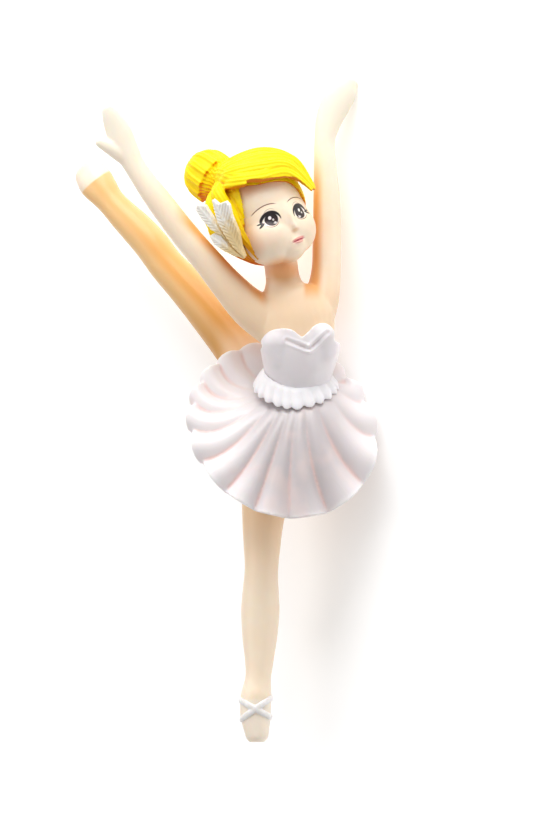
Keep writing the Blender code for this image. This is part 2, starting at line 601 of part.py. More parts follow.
def main():
    for obj in list(bpy.data.objects):
        bpy.data.objects.remove(obj)
    parts = bpy.data.collections.new("ballerina_figurine")
    cutters = bpy.data.collections.new("cutters")
    for collection in (parts, cutters):
        bpy.context.scene.collection.children.link(collection)
    upper_body = finish(make_upper_body(parts), "skin", (0.93, 0.72, 0.52), 0.45)
    legs = finish(make_legs(parts, cutters), "skin_legs", (0.91, 0.70, 0.50), 0.45)
    skirt = finish(make_skirt(parts), "white_skirt", (0.88, 0.84, 0.84), 0.4)
    bodice = finish(make_bodice(parts, cutters), "white_bodice", (0.90, 0.87, 0.88), 0.4)
    cut(bodice, swollen(upper_body, FIT_GAP, cutters), "cut_chest")
    hair = finish(make_hair(parts, cutters, upper_body), "yellow_hair", (0.90, 0.62, 0.02), 0.4)
    ornament = finish(make_hair_ornament(parts, cutters, hair), "pale_gold", (0.85, 0.79, 0.66), 0.4)
    root = bpy.data.objects.new("figurine", None)
    parts.objects.link(root)
    nodes = [upper_body, legs, skirt, bodice, hair, ornament]
    for obj in [*nodes, *cutters.objects]:
        obj.parent = root
    lay_down(nodes, root)


main()
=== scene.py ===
import math

import bmesh
import bpy
import numpy as np
from mathutils import Matrix, Vector
from mathutils.kdtree import KDTree


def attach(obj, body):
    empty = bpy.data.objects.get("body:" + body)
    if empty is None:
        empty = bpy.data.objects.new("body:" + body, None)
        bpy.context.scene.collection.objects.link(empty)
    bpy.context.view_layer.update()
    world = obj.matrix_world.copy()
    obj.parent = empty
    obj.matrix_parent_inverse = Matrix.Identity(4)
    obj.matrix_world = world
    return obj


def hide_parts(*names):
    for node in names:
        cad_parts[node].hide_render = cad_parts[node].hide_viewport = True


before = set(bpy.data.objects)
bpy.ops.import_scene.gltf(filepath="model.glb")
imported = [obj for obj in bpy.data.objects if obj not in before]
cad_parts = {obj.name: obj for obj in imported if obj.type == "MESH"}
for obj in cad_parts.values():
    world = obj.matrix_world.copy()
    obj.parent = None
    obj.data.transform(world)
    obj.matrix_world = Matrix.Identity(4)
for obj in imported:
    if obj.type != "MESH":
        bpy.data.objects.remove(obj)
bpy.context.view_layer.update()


# Head, neck, chest and arms: one soft flesh-coloured PVC moulding, with warm painted shade in its hollows.
# The features are pad-printed on the face. Its lower end is a plug that is glued inside the bodice.
# Lengths are in millimetres in a pose that stands on the toe tip; POSE lays it down in the frame, in metres.
MM = 0.001
LYING_ROLL = math.radians(38.1155)
LYING_TILT = math.radians(-88.7019)
LYING_PLACE = Vector((0.0132987, -0.0600917, 0.0137257))
POSE = (Matrix.Translation(LYING_PLACE) @ Matrix.Rotation(LYING_TILT, 4, "X")
        @ Matrix.Rotation(LYING_ROLL, 4, "Z") @ Matrix.Scale(MM, 4))

# Limbs are rows of x, y, z, half width and half depth, with x to the viewer's right and y away.
TORSO = [
    (7.3, -0.8, 68.4, 5.2, 3.8), (7.5, -1.3, 70.0, 5.6, 4.1), (7.6, -1.9, 72.8, 6.4, 4.4),
    (6.9, -2.1, 75.8, 7.2, 4.4), (6.1, -1.7, 78.6, 6.6, 3.9), (5.1, -1.0, 81.0, 4.4, 3.3),
    (4.7, -0.8, 83.0, 3.2, 3.0), (4.3, -0.9, 86.0, 3.05, 3.0), (3.9, -1.2, 89.0, 3.2, 3.2),
]
RAISED_RIGHT_ARM = [
    (4.2, -1.6, 74.8, 4.6, 3.6), (-1.0, -1.4, 77.9, 3.7, 3.3), (-5.0, -1.2, 81.9, 3.05, 2.9),
    (-8.8, -0.9, 86.4, 2.65, 2.6), (-12.8, -0.5, 91.1, 2.5, 2.45), (-17.8, 0.2, 97.6, 2.3, 2.2),
    (-21.6, 0.8, 103.0, 1.95, 1.8), (-23.4, 0.9, 106.4, 2.2, 1.6), (-24.9, 0.7, 109.8, 2.35, 1.3),
    (-26.2, 0.4, 112.6, 1.8, 1.0), (-26.9, 0.2, 114.0, 1.2, 0.7),
]
RIGHT_THUMB = [
    (-23.4, 0.8, 105.0, 1.5, 1.3), (-26.2, 0.3, 106.8, 1.3, 1.1), (-28.3, 0.0, 107.9, 0.9, 0.85),
]
RAISED_LEFT_ARM = [
    (9.6, -1.4, 76.0, 4.4, 3.6), (11.6, -0.4, 80.0, 3.3, 3.0), (12.4, 1.0, 84.4, 2.7, 2.7),
    (12.6, 2.4, 90.0, 2.6, 2.6), (12.6, 3.6, 96.7, 2.5, 2.45), (12.3, 4.6, 103.7, 2.1, 2.05),
    (12.2, 5.2, 108.2, 1.9, 1.75), (12.9, 5.6, 111.8, 2.4, 1.55), (14.2, 5.9, 114.9, 2.75, 1.35),
    (15.8, 6.2, 117.4, 2.5, 1.1), (17.0, 6.5, 119.1, 1.6, 0.8),
]
HEAD_PLACE = Vector((0.1, -1.5, 97.0))
HEAD_LEAN = math.radians(-21)
HEAD_TURN = math.radians(31)
HEAD_NOD = math.radians(-10)
HEAD = (Matrix.Translation(HEAD_PLACE) @ Matrix.Rotation(HEAD_LEAN, 4, "Y")
        @ Matrix.Rotation(HEAD_TURN, 4, "Z") @ Matrix.Rotation(HEAD_NOD, 4, "X"))
# The skull, jaw and cheeks, as x, y, z and radius in the head's own axes.
FACE_BALLS = [
    (0, 0, -0.9, 7.7), (0, -0.4, -4.2, 7.4), (0, -3.0, -9.4, 3.5),
    (2.1, -2.2, -7.0, 4.9), (-2.4, -2.2, -7.0, 5.1), (0, 2.2, -3.4, 6.2),
]
# Each carved spot on the face: x, z, half width, half height, and how far it stands proud.
FACE_CARVING = [
    (-3.2, -5.3, 1.9, 1.5, -0.28), (3.0, -5.6, 1.9, 1.5, -0.28), (0.5, -7.7, 0.6, 0.75, 0.45),
    (0.4, -6.0, 0.5, 1.3, 0.22), (0.5, -9.98, 1.0, 0.24, 0.20), (0.45, -10.5, 0.8, 0.28, 0.24),
    (0.45, -10.22, 1.15, 0.12, -0.16), (0.4, -11.3, 1.1, 0.35, -0.12), (0.3, -12.3, 1.4, 0.8, 0.2),
]
CHIN_HEIGHT = -13.5
LIMB_SIDES = 28
BALL_SIDES = 48


def smooth_rows(rows, per_span):
    """A Catmull-Rom curve through rows of numbers, with per_span steps between two rows."""
    rows = [Vector(row) for row in rows]
    ends = [2 * rows[0] - rows[1], *rows, 2 * rows[-1] - rows[-2]]
    made = []
    for before, start, end, after in zip(ends, ends[1:], ends[2:], ends[3:]):
        for step in range(per_span):
            t = step / per_span
            made.append(0.5 * (2 * start + t * (end - before)
                               + t * t * (2 * before - 5 * start + 4 * end - after)
                               + t * t * t * (3 * start - before - 3 * end + after)))
    return made + [rows[-1]]


def add_section(bm, place, side, depth, half_width, half_depth, sides):
    """One oval outline of a loft, as its edges."""
    turn = Matrix((side * half_width, depth * half_depth, side.cross(depth))).transposed().to_4x4()
    made = bmesh.ops.create_circle(bm, segments=sides, radius=1, matrix=Matrix.Translation(place) @ turn)
    return list({edge for v in made["verts"] for edge in v.link_edges})


def join_sections(bm, sections):
    """Joins a row of outlines into one closed tube."""
    for first, second in zip(sections, sections[1:]):
        bmesh.ops.bridge_loops(bm, edges=first + second)
    for section in (sections[0], sections[-1]):
        bmesh.ops.edgeloop_fill(bm, edges=section)


def add_limb(bm, rows, per_span=5):
    """A closed, round-ended limb through rows of x, y, z, half width and half depth."""
    rows = smooth_rows(rows, per_span)
    sections = []
    for i, row in enumerate(rows):
        place = Vector(row[:3])
        along = (Vector(rows[min(i + 1, len(rows) - 1)][:3])
                 - Vector(rows[max(i - 1, 0)][:3])).normalized()
        side = Vector((0, 1, 0)).cross(along).normalized()
        depth = along.cross(side)
        steps = [(place, 1.0)]
        end = -1 if i == 0 else 1 if i == len(rows) - 1 else 0
        if end:
            reach = min(row[3], row[4])
            steps += [(place + along * end * reach * math.sin(a), math.cos(a))
                      for a in map(math.radians, (20, 40, 60, 80))]
        for centre, share in steps[::-1] if end < 0 else steps:
            sections.append(add_section(bm, centre, side, depth, row[3] * share, row[4] * share, LIMB_SIDES))
    join_sections(bm, sections)


def add_ball(bm, place, radius):
    bmesh.ops.create_uvsphere(bm, u_segments=BALL_SIDES, v_segments=BALL_SIDES // 2, radius=radius,
                              matrix=Matrix.Translation(place))


def shaped(obj):
    """obj's mesh with its modifiers applied."""
    bpy.context.view_layer.update()
    graph = bpy.context.evaluated_depsgraph_get()
    mesh = bpy.data.meshes.new_from_object(obj.evaluated_get(graph))
    old = obj.data
    obj.modifiers.clear()
    obj.data = mesh
    bpy.data.meshes.remove(old)
    return obj


def new_piece(name, bm):
    """A new object of the mesh in bm, in the scene."""
    bmesh.ops.recalc_face_normals(bm, faces=bm.faces)
    mesh = bpy.data.meshes.new(name)
    bm.to_mesh(mesh)
    bm.free()
    mesh.shade_smooth()
    obj = bpy.data.objects.new(name, mesh)
    bpy.context.scene.collection.objects.link(obj)
    return obj


def remeshed(obj, name, voxel, rounds):
    """Adds a new, even skin to obj, softened so many times."""
    remesh = obj.modifiers.new(name, "REMESH")
    remesh.mode = "VOXEL"
    remesh.voxel_size = voxel
    soften = obj.modifiers.new(name + "_soft", "SMOOTH")
    soften.factor = 0.5
    soften.iterations = rounds


def moulded(name, bm, voxel, rounds):
    """The overlapping closed shapes in bm run together in one soft skin, as if moulded."""
    obj = new_piece(name, bm)
    remeshed(obj, "run_together", voxel, rounds)
    return shaped(obj)


def pushed_through(bm, outline, way):
    """A flat face through the points of outline, drawn out into a prism."""
    near = bm.faces.new([bm.verts.new(place) for place in outline])
    made = bmesh.ops.extrude_face_region(bm, geom=[near])["geom"]
    far = [v for v in made if isinstance(v, bmesh.types.BMVert)]
    bmesh.ops.translate(bm, verts=far, vec=way)


def points_of(obj):
    points = np.zeros(len(obj.data.vertices) * 3)
    obj.data.vertices.foreach_get("co", points)
    return points.reshape(-1, 3)


def normals_of(obj):
    normals = np.zeros(len(obj.data.vertices) * 3)
    obj.data.vertices.foreach_get("normal", normals)
    return normals.reshape(-1, 3)


def move_points(obj, points):
    obj.data.vertices.foreach_set("co", points.ravel())
    obj.data.update()


def keep_number(obj, name, values):
    """Stores one number for each point of obj, for its material to read."""
    layer = obj.data.attributes.new(name, "FLOAT", "POINT")
    layer.data.foreach_set("value", np.asarray(values, dtype=np.float32))


def hollowness(obj, reach, depth):
    """How hollow the surface is at each point: -1 on a crest, 0 where it is even, 1 in a groove."""
    points, normals = points_of(obj), normals_of(obj)
    edges = np.zeros(len(obj.data.edges) * 2, dtype=np.int64)
    obj.data.edges.foreach_get("vertices", edges)
    first, second = edges.reshape(-1, 2).T
    count = np.bincount(edges, minlength=len(points))[:, None]
    soft = points.copy()
    for _ in range(reach):
        total = np.zeros_like(soft)
        for k in range(3):
            total[:, k] = (np.bincount(first, soft[second, k], len(points))
                           + np.bincount(second, soft[first, k], len(points)))
        soft = 0.5 * soft + 0.5 * total / count
    return np.clip(((soft - points) * normals).sum(axis=1) / depth, -1, 1)


def lay_down(obj):
    """Takes a finished piece from the pose in millimetres to its place in the frame, in metres."""
    obj.data.transform(POSE)
    obj.data.update()
    return obj


def colour(red, green, blue):
    """A colour as picked from a screen, 0 to 255, as the shader wants it."""
    return tuple(c / 12.92 if c <= 0.04045 else ((c + 0.055) / 1.055) ** 2.4
                 for c in (red / 255, green / 255, blue / 255)) + (1.0,)


class Wire:
    """A shader value that can be worked with as a number."""

    def __init__(self, paint, socket):
        self.paint = paint
        self.socket = socket

    def maths(self, operation, first, second):
        return self.paint.node("ShaderNodeMath", {"operation": operation}, {0: first, 1: second})

    def __add__(self, other):
        return self.maths("ADD", self, other)

    def __sub__(self, other):
        return self.maths("SUBTRACT", self, other)

    def __rsub__(self, other):
        return self.maths("SUBTRACT", other, self)

    def __mul__(self, other):
        return self.maths("MULTIPLY", self, other)

    def __truediv__(self, other):
        return self.maths("DIVIDE", self, other)

    def __pow__(self, other):
        return self.maths("POWER", self, other)

    __radd__ = __add__
    __rmul__ = __mul__


class Paint:
    """One finish of the figurine: a Principled material and the nodes that feed it."""

    def __init__(self, name, roughness, coat=0.0, glow=0.0):
        self.material = bpy.data.materials.new(name)
        self.material.use_nodes = True
        self.tree = self.material.node_tree
        self.shader = self.tree.nodes["Principled BSDF"]
        self.shader.inputs["Roughness"].default_value = roughness
        self.shader.inputs["Coat Weight"].default_value = coat
        self.shader.inputs["Coat Roughness"].default_value = 0.25
        self.shader.inputs["Subsurface Weight"].default_value = glow
        self.shader.inputs["Subsurface Radius"].default_value = (1.0, 0.45, 0.2)
        self.shader.inputs["Subsurface Scale"].default_value = 0.0022

    def node(self, kind, settings, sockets, out=0):
        """Any node: its settings first, then the values or wires of its sockets."""
        made = self.tree.nodes.new(kind)
        for name, value in settings.items():
            setattr(made, name, value)
        for key, value in sockets.items():
            if isinstance(value, Wire):
                self.tree.links.new(value.socket, made.inputs[key])
            else:
                made.inputs[key].default_value = value
        return Wire(self, made.outputs[out])

    def place(self, to_own=None):
        """Object coordinates in millimetres, turned into a piece's own axes, as three wires."""
        to_own = (to_own or Matrix.Identity(4)) @ POSE.inverted()
        self.spot = self.node("ShaderNodeMapping", {}, {
            "Vector": self.node("ShaderNodeTexCoord", {}, {}, "Object"),
            "Location": to_own.to_translation(),
            "Rotation": to_own.to_euler("XYZ"),
            "Scale": to_own.to_scale(),
        })
        return [self.node("ShaderNodeSeparateXYZ", {}, {0: self.spot}, k) for k in range(3)]

    def noise(self, scale):
        return self.node("ShaderNodeTexNoise", {}, {"Vector": self.spot, "Scale": scale, "Detail": 2.0})

    def number(self, name):
        return self.node("ShaderNodeAttribute", {"attribute_name": name}, {}, "Fac")

    def soft(self, value, low, high):
        """0 below low, 1 above high, and smooth between."""
        return self.node("ShaderNodeMapRange", {"interpolation_type": "SMOOTHSTEP"},
                         {0: value, 1: low, 2: high})

    def larger(self, first, second):
        return self.node("ShaderNodeMath", {"operation": "MAXIMUM"}, {0: first, 1: second})

    def over(self, under, top, amount):
        """The colour top laid over the colour under, as strongly as amount says."""
        return self.node("ShaderNodeMix", {"data_type": "RGBA"}, {0: amount, 6: under, 7: top}, 2)

    def spot_mask(self, x, z, at, size, turn=0.0, edge=0.08):
        """1 inside an oval about at, 0 outside, with a soft edge."""
        c, s = math.cos(math.radians(turn)), math.sin(math.radians(turn))
        across = ((x - at[0]) * c + (z - at[1]) * s) / size[0]
        up = ((z - at[1]) * c - (x - at[0]) * s) / size[1]
        return 1 - self.soft((across * across + up * up) ** 0.5, 1 - edge, 1 + edge)

    def finish(self, base, bump=None, strength=0.2, distance=0.0001):
        """Wires up the base colour, and a bump if there is one. Returns the material."""
        self.tree.links.new(base.socket, self.shader.inputs["Base Color"])
        if bump is not None:
            normal = self.node("ShaderNodeBump", {}, {"Height": bump, "Strength": strength,
                                                      "Distance": distance})
            self.tree.links.new(normal.socket, self.shader.inputs["Normal"])
        return self.material


def put_in_place(obj, node, material):
    """Gives a finished piece its material and its place in the frame, in the stead of a CAD node."""
    obj.data.materials.clear()
    obj.data.materials.append(material)
    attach(obj, "root")
    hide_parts(node)
    return obj


bm = bmesh.new()
for x, y, z, radius in FACE_BALLS:
    add_ball(bm, (x, y, z), radius)
bm.transform(HEAD)
for rows in (TORSO, RAISED_RIGHT_ARM, RIGHT_THUMB, RAISED_LEFT_ARM):
    add_limb(bm, rows)
body = moulded("arms_and_chest", bm, 0.25, 10)
points = points_of(body)
to_head = np.array(HEAD.inverted())
own = points @ to_head[:3, :3].T + to_head[:3, 3]
proud = np.zeros(len(points))
for x, z, half_width, half_height, height in FACE_CARVING:
    proud += height * np.exp(-((own[:, 0] - x) / half_width) ** 2 - ((own[:, 2] - z) / half_height) ** 2)
proud *= np.clip((-own[:, 1] - 3.0) / 2.0, 0, 1) * (own[:, 2] > CHIN_HEIGHT)
forward = np.array(HEAD.to_3x3() @ Vector((0, -1, 0)))
move_points(body, points + forward * proud[:, None])
keep_number(body, "hollow", hollowness(body, 30, 0.5))

# The head is parted from the body across the neck, to be a piece of its own.
NECK_HEIGHT = 83.5
head = bpy.data.objects.new("head", body.data.copy())
bpy.context.scene.collection.objects.link(head)
for obj in (body, head):
    bm = bmesh.new()
    bm.from_mesh(obj.data)
    bmesh.ops.bisect_plane(bm, geom=bm.verts[:] + bm.edges[:] + bm.faces[:],
                           plane_co=(0, 0, NECK_HEIGHT), plane_no=(0, 0, 1))
    start = min(bm.faces, key=lambda face: (face.calc_center_median() - HEAD_PLACE).length)
    reached, waiting = {start}, [start]
    while waiting:
        for edge in waiting.pop().edges:
            for face in edge.link_faces:
                if face not in reached and face.calc_center_median().z > NECK_HEIGHT:
                    reached.add(face)
                    waiting.append(face)
    spare = reached if obj is body else set(bm.faces) - reached
    bmesh.ops.delete(bm, geom=list(spare), context="FACES")
    rim = [edge for edge in bm.edges if edge.is_boundary]
    for edge in rim:
        edge.smooth = False
    for face in bmesh.ops.edgeloop_fill(bm, edges=rim)["faces"]:
        face.smooth = False
    bm.to_mesh(obj.data)
    bm.free()


SKIN = colour(254, 231, 205)
# Painted shade for the skin's hollows.
SKIN_SHADE_IN_HOLLOWS = colour(228, 164, 98)
PALE_SKIN = colour(254, 240, 220)
# Painted warm shade for the inner edges of the arms.
ARM_EDGE_SHADE = colour(236, 160, 66)
# Where the painted shadow under the chin sits.
UNDER_CHIN = (4.7, 84.6)


def flesh(name):
    """The flesh-coloured PVC, with warm painted shade in its hollows and a painted shadow under the chin.
    Returns the paint, its base colour and x, y, z.
    """
    paint = Paint(name, 0.42, coat=0.08, glow=0.22)
    x, y, z = paint.place()
    # Painted shade: the skin turns warmer and darker in its hollows.
    hollow_shade = paint.soft(paint.number("hollow"), 0.1, 0.9)
    base = paint.over(SKIN, SKIN_SHADE_IN_HOLLOWS, hollow_shade * 0.8)
    cloudy = paint.soft(paint.noise(0.22), 0.45, 0.75)
    base = paint.over(base, PALE_SKIN, cloudy * 0.35)
    # Painted shadow under the chin.
    chin_shadow = paint.spot_mask(x, z, UNDER_CHIN, (2.9, 2.2), edge=0.5)
    base = paint.over(base, colour(236, 158, 78), chin_shadow * 0.8)
    return paint, base, x, y, z


paint, base, x, y, z = flesh("flesh_body")
# Painted shade: the chest darker below the neck.
base = paint.over(base, colour(232, 192, 142), (1 - paint.soft(z, 78, 90)) * 0.45)
# Painted light: the arms paler towards the raised hands, where more light falls.
base = paint.over(base, colour(255, 247, 232), paint.soft(z, 94, 112) * 0.8)
# Painted shade: a warm orange band of shade runs up the inner edge of each arm.
ELBOW = (-8.8, 86.4)
ARM_SLOPE = (0.71, 0.70)
right_arm_shade = ((1 - paint.soft(x, 10.6, 12.2)) * paint.soft(x, 8.0, 9.0)
              * (1 - paint.soft(z, 98, 107)) * paint.soft(z, 79, 82))
across = (x - ELBOW[0]) * ARM_SLOPE[0] + (z - ELBOW[1]) * ARM_SLOPE[1]
along = (z - ELBOW[1]) * ARM_SLOPE[0] - (x - ELBOW[0]) * ARM_SLOPE[1]
left_arm_shade = (paint.soft(across, 0.8, 2.6) * (1 - paint.soft(along, 6, 12)) * paint.soft(along, -16, -10)
             * (1 - paint.soft(x, 0.5, 2.5)))
base = paint.over(base, ARM_EDGE_SHADE, paint.larger(right_arm_shade, left_arm_shade) * 0.8)
chest_finish = paint.finish(base, paint.noise(5.0), 0.25, 0.00002)
put_in_place(lay_down(body), "upper_body", chest_finish)

EYES = ((-1, (-3.25, -5.0)), (1, (2.98, -5.5)))
CHEEKS = ((-4.9, -8.0), (4.9, -8.2))
# Where the painted shade on the nose sits.
NOSE_SHADE = (0.45, -8.35)
UPPER_LIP = (0.5, -9.96)
LIP_LINE = (0.5, -10.18)
LOWER_LIP = (0.45, -10.42)
LASH = colour(22, 10, 12)
LID_CREASE = colour(104, 58, 46)
paint, base, x, y, z = flesh("flesh_face")
x, y, z = paint.place(HEAD.inverted())
# Painted shade on the forehead under the fringe.
base = paint.over(base, colour(216, 150, 96), paint.soft(z, -0.4, 2.0) * 0.55)
front = paint.soft(0 - y, 3.2, 4.0)
cheeks = paint.larger(paint.spot_mask(x, z, CHEEKS[0], (2.2, 1.6), edge=0.6),
                      paint.spot_mask(x, z, CHEEKS[1], (2.2, 1.6), edge=0.6))
base = paint.over(base, colour(250, 202, 176), cheeks * front * 0.25)
# Painted shade along the hair's edge at the left of the face.
hairline_shade = (1 - paint.soft(x, -7.4, -5.4)) * paint.soft(z, -12, -9)
base = paint.over(base, colour(212, 150, 98), hairline_shade * 0.55)
# Round each eye u runs outwards and w upwards.
for side, at in EYES:
    u, w = (x - at[0]) * side, z - at[1]
    eye = paint.spot_mask(u, w, (0.0, -0.05), (1.50, 1.14), 0, 0.12)
    base = paint.over(base, colour(250, 240, 232), eye * front)
    iris = paint.spot_mask(u, w, (-0.12, -0.06), (1.16, 1.20), 0, 0.07) * front
    base = paint.over(base, LASH, iris)
    base = paint.over(base, colour(58, 34, 34),
                      paint.spot_mask(u, w, (-0.12, -0.32), (0.92, 0.86), 0, 0.12) * front * 0.9)
    base = paint.over(base, colour(232, 224, 220),
                      paint.spot_mask(u, w, (-0.42, -0.72), (0.42, 0.26), 40, 0.25) * front * 0.9)
    base = paint.over(base, colour(38, 24, 26),
                      paint.spot_mask(u, w, (-0.10, 0.02), (0.66, 0.80), 0, 0.12) * front)
    base = paint.over(base, colour(255, 252, 248),
                      paint.spot_mask(x, z, (at[0] - 0.02, at[1] + 0.34), (0.27, 0.31), 0, 0.2) * front)
    base = paint.over(base, colour(240, 234, 230),
                      paint.spot_mask(x, z, (at[0] + 0.42, at[1] - 0.18), (0.16, 0.2), 0, 0.3) * front * 0.8)
    upper_lid = (paint.spot_mask(u, w, (0.05, -0.20), (1.86, 1.78), 0, 0.04)
                 * (1 - paint.spot_mask(u, w, (0.02, -0.66), (1.66, 1.60), 0, 0.05))
                 * paint.soft(w, -0.75, -0.35))
    wing = paint.larger(paint.spot_mask(u, w, (1.80, -0.42), (0.66, 0.20), -28, 0.25),
                        paint.spot_mask(u, w, (1.88, 0.00), (0.54, 0.17), 8, 0.25))
    fold = (paint.spot_mask(u, w, (-0.25, 0.38), (1.35, 1.56), 0, 0.03)
            * (1 - paint.spot_mask(u, w, (-0.25, 0.28), (1.35, 1.56), 0, 0.03))
            * paint.soft(w, 1.2, 1.6))
    lower_lid = (paint.spot_mask(u, w, (0.0, -0.10), (1.48, 1.42), 0, 0.03)
                 * (1 - paint.spot_mask(u, w, (0.0, -0.02), (1.46, 1.38), 0, 0.03))
                 * (1 - paint.soft(w, -1.0, -0.7)))
    base = paint.over(base, LID_CREASE, paint.larger(fold * 0.6, lower_lid) * front)
    base = paint.over(base, LASH, paint.larger(upper_lid, wing) * front)
    brow = (paint.spot_mask(u, w, (0.05, -1.85), (4.62, 4.72), 0, 0.012)
            * (1 - paint.spot_mask(u, w, (0.05, -2.02), (4.62, 4.72), 0, 0.012))
            * paint.soft(u, -2.3, -1.4) * (1 - paint.soft(u, 1.9, 2.6)) * paint.soft(w, 0.5, 1.0))
    base = paint.over(base, colour(106, 54, 34), brow * front)
lips = paint.larger(paint.spot_mask(x, z, UPPER_LIP, (1.36, 0.30), 4, 0.25),
                    paint.spot_mask(x, z, LOWER_LIP, (1.00, 0.32), 0, 0.3) * 0.8)
base = paint.over(base, colour(226, 142, 136), lips * front * 0.9)
base = paint.over(base, colour(186, 74, 88),
                  paint.spot_mask(x, z, LIP_LINE, (1.32, 0.13), 4, 0.4) * front)
# Painted shade on the nose tip.
base = paint.over(base, colour(228, 176, 120),
                  paint.spot_mask(x, z, NOSE_SHADE, (0.7, 0.3), 0, 0.7) * front * 0.6)
face_finish = paint.finish(base, paint.noise(5.0), 0.2, 0.00002)
put_in_place(lay_down(head), "upper_body", face_finish)


# Legs: hips, standing leg on the tip of its slipper, and lifted leg, in the same PVC as the body.
# The slippers are part of the moulding, sprayed paler; the leg behind gets a deeper gold painted shade, and
# the standing thigh painted shade under the skirt.
PELVIS = [
    (7.0, 1.9, 61.4, 4.6, 3.6), (6.2, 3.6, 60.4, 5.6, 4.8), (4.6, 5.6, 60.0, 6.2, 5.6),
    (3.8, 7.2, 60.4, 5.2, 5.0),
]
STANDING_LEG = [
    (4.2, 4.6, 60.4, 6.0, 5.4), (2.9, 2.9, 54.6, 5.5, 5.0), (1.9, 1.9, 48.0, 4.75, 4.5),
    (1.1, 1.2, 40.0, 3.8, 3.9), (0.9, 0.9, 34.6, 3.3, 3.5), (0.8, 0.8, 31.0, 3.05, 3.3),
    (0.65, 1.3, 27.0, 3.3, 3.5), (0.6, 1.7, 23.6, 3.5, 3.7), (0.5, 1.5, 19.0, 3.2, 3.3),
    (0.4, 1.1, 14.5, 2.6, 2.7), (0.2, 0.9, 11.4, 2.35, 2.5), (-0.1, 1.0, 8.8, 2.75, 3.1),
    (-0.3, 0.6, 6.2, 2.85, 2.8), (-0.2, 0.1, 3.9, 2.65, 2.2), (0.0, -0.1, 1.4, 2.2, 1.8),
]
# The stripe of painted shade on the lifted leg is measured from this knee, across this slope.
LIFTED_KNEE = (-12.8, 82.2)
KNEE_SLOPE = (0.745, 0.667)
LIFTED_LEG = [
    (3.6, 8.2, 61.0, 6.0, 5.6), (0.8, 12.0, 66.0, 5.6, 5.2), (-3.0, 15.6, 71.4, 5.0, 4.8),
    (-8.2, 19.0, 77.4, 4.3, 4.3), (-12.8, 21.4, 82.2, 3.6, 3.7), (-16.4, 23.0, 86.0, 3.25, 3.4),
    (-19.2, 24.4, 89.8, 3.2, 3.4), (-22.0, 25.8, 92.9, 3.05, 3.2), (-24.3, 26.9, 95.2, 2.8, 2.9),
    (-26.6, 28.1, 97.7, 2.6, 2.6), (-28.1, 29.0, 99.6, 3.0, 2.6), (-29.4, 30.0, 101.3, 3.3, 2.6),
    (-30.4, 31.0, 102.8, 3.0, 2.2),
]
TOE_HEIGHT = 0.02
# The skirt's waist and hem as two tilted ovals, which its outer face runs between.
WAIST_PLACE = Vector((7.3, 1.4, 62.2))
TORSO_AXIS = Vector((-0.149, -0.418, 0.896)).normalized()
WAIST_SIDE = Vector((0.986, 0, 0.164)).normalized()
WAIST_BACK = TORSO_AXIS.cross(WAIST_SIDE)
HEM_PLACE = Vector((4.6, 0.0, 55.9))
HEM_SIDE = Vector((1, 0, 0))
HEM_BACK = Vector((0, 0.47, 0.883)).normalized()
HEM_RADII = (16.4, 17.4)
# Each fold: degrees round from the viewer's right, and how deep it is.
FOLDS = [
    (25, 0.6), (46, 0.5), (66, 0.4), (84, 0.4), (101, 0.4), (116, 0.5), (131, 0.6), (146, 0.7), (160, 0.8),
    (177, 0.9), (200, 1.0), (228, 1.0), (252, 0.8), (274, 0.5), (297, 0.9), (326, 1.0), (358, 0.8),
]
FOLD_SWIRL = 0.50
FOLD_SWELL = 0.9
FOLD_MIDDLE = 0.7
PLEAT_DEPTH = 2.4
HEM_SQUARENESS = 1.1
SKIRT_TOP_RADII = (5.6, 4.4)
SKIRT_DROOP = 1.5
SKIRT_WALL = 1.2
FIT_GAP = 0.3
WAIST_REACH = 8
ROOM_HEIGHT = 15
ROOM_OVERRUN = 1.04


def fold_at(share):
    """At a share of the way round the hem: its angle, and 0 in a valley to 1 on a ridge of the folds."""
    number, t = divmod(share * len(FOLDS), 1)
    start, depth = FOLDS[int(number) % len(FOLDS)]
    end, next_depth = FOLDS[(int(number) + 1) % len(FOLDS)]
    bump = math.sin(math.pi * t) ** 1.4
    return math.radians(start + (end - start) % 360 * t), 1 - (1 - bump) * (depth + (next_depth - depth) * t)


def skirt_point(share, reach, pleated=True):
    """A point of the skirt's outer face: reach is 0 at the waist and 1 at the hem."""
    angle, wave = fold_at(share)
    if not pleated:
        wave = FOLD_MIDDLE
    swell = 1 + (FOLD_SWELL * (wave - 0.5) - HEM_SQUARENESS * math.sin(2 * angle)) / HEM_RADII[0]
    turned = angle - FOLD_SWIRL * math.cos(angle) * (1 - reach ** 2)
    top = (WAIST_PLACE + WAIST_SIDE * SKIRT_TOP_RADII[0] * math.cos(turned)
           + WAIST_BACK * SKIRT_TOP_RADII[1] * math.sin(turned))
    hem = (HEM_PLACE + HEM_SIDE * math.cos(turned) * HEM_RADII[0] * swell
           + HEM_BACK * math.sin(turned) * HEM_RADII[1] * swell)
    fall = (hem - top).dot(TORSO_AXIS)
    spread = hem - top - TORSO_AXIS * fall
    flat = top + spread * reach + TORSO_AXIS * fall * reach ** SKIRT_DROOP
    return flat + HEM_SIDE.cross(HEM_BACK) * PLEAT_DEPTH * (wave - FOLD_MIDDLE) * reach ** 1.3


def skirt_outward(share, reach):
    """The direction out of the skirt at that point, as if it had no folds."""
    across = skirt_point(share + 0.01, reach, False) - skirt_point(share - 0.01, reach, False)
    down = skirt_point(share, reach + 0.04, False) - skirt_point(share, reach, False)
    out = across.cross(down).normalized()
    return out if out.dot(TORSO_AXIS) > 0 else -out


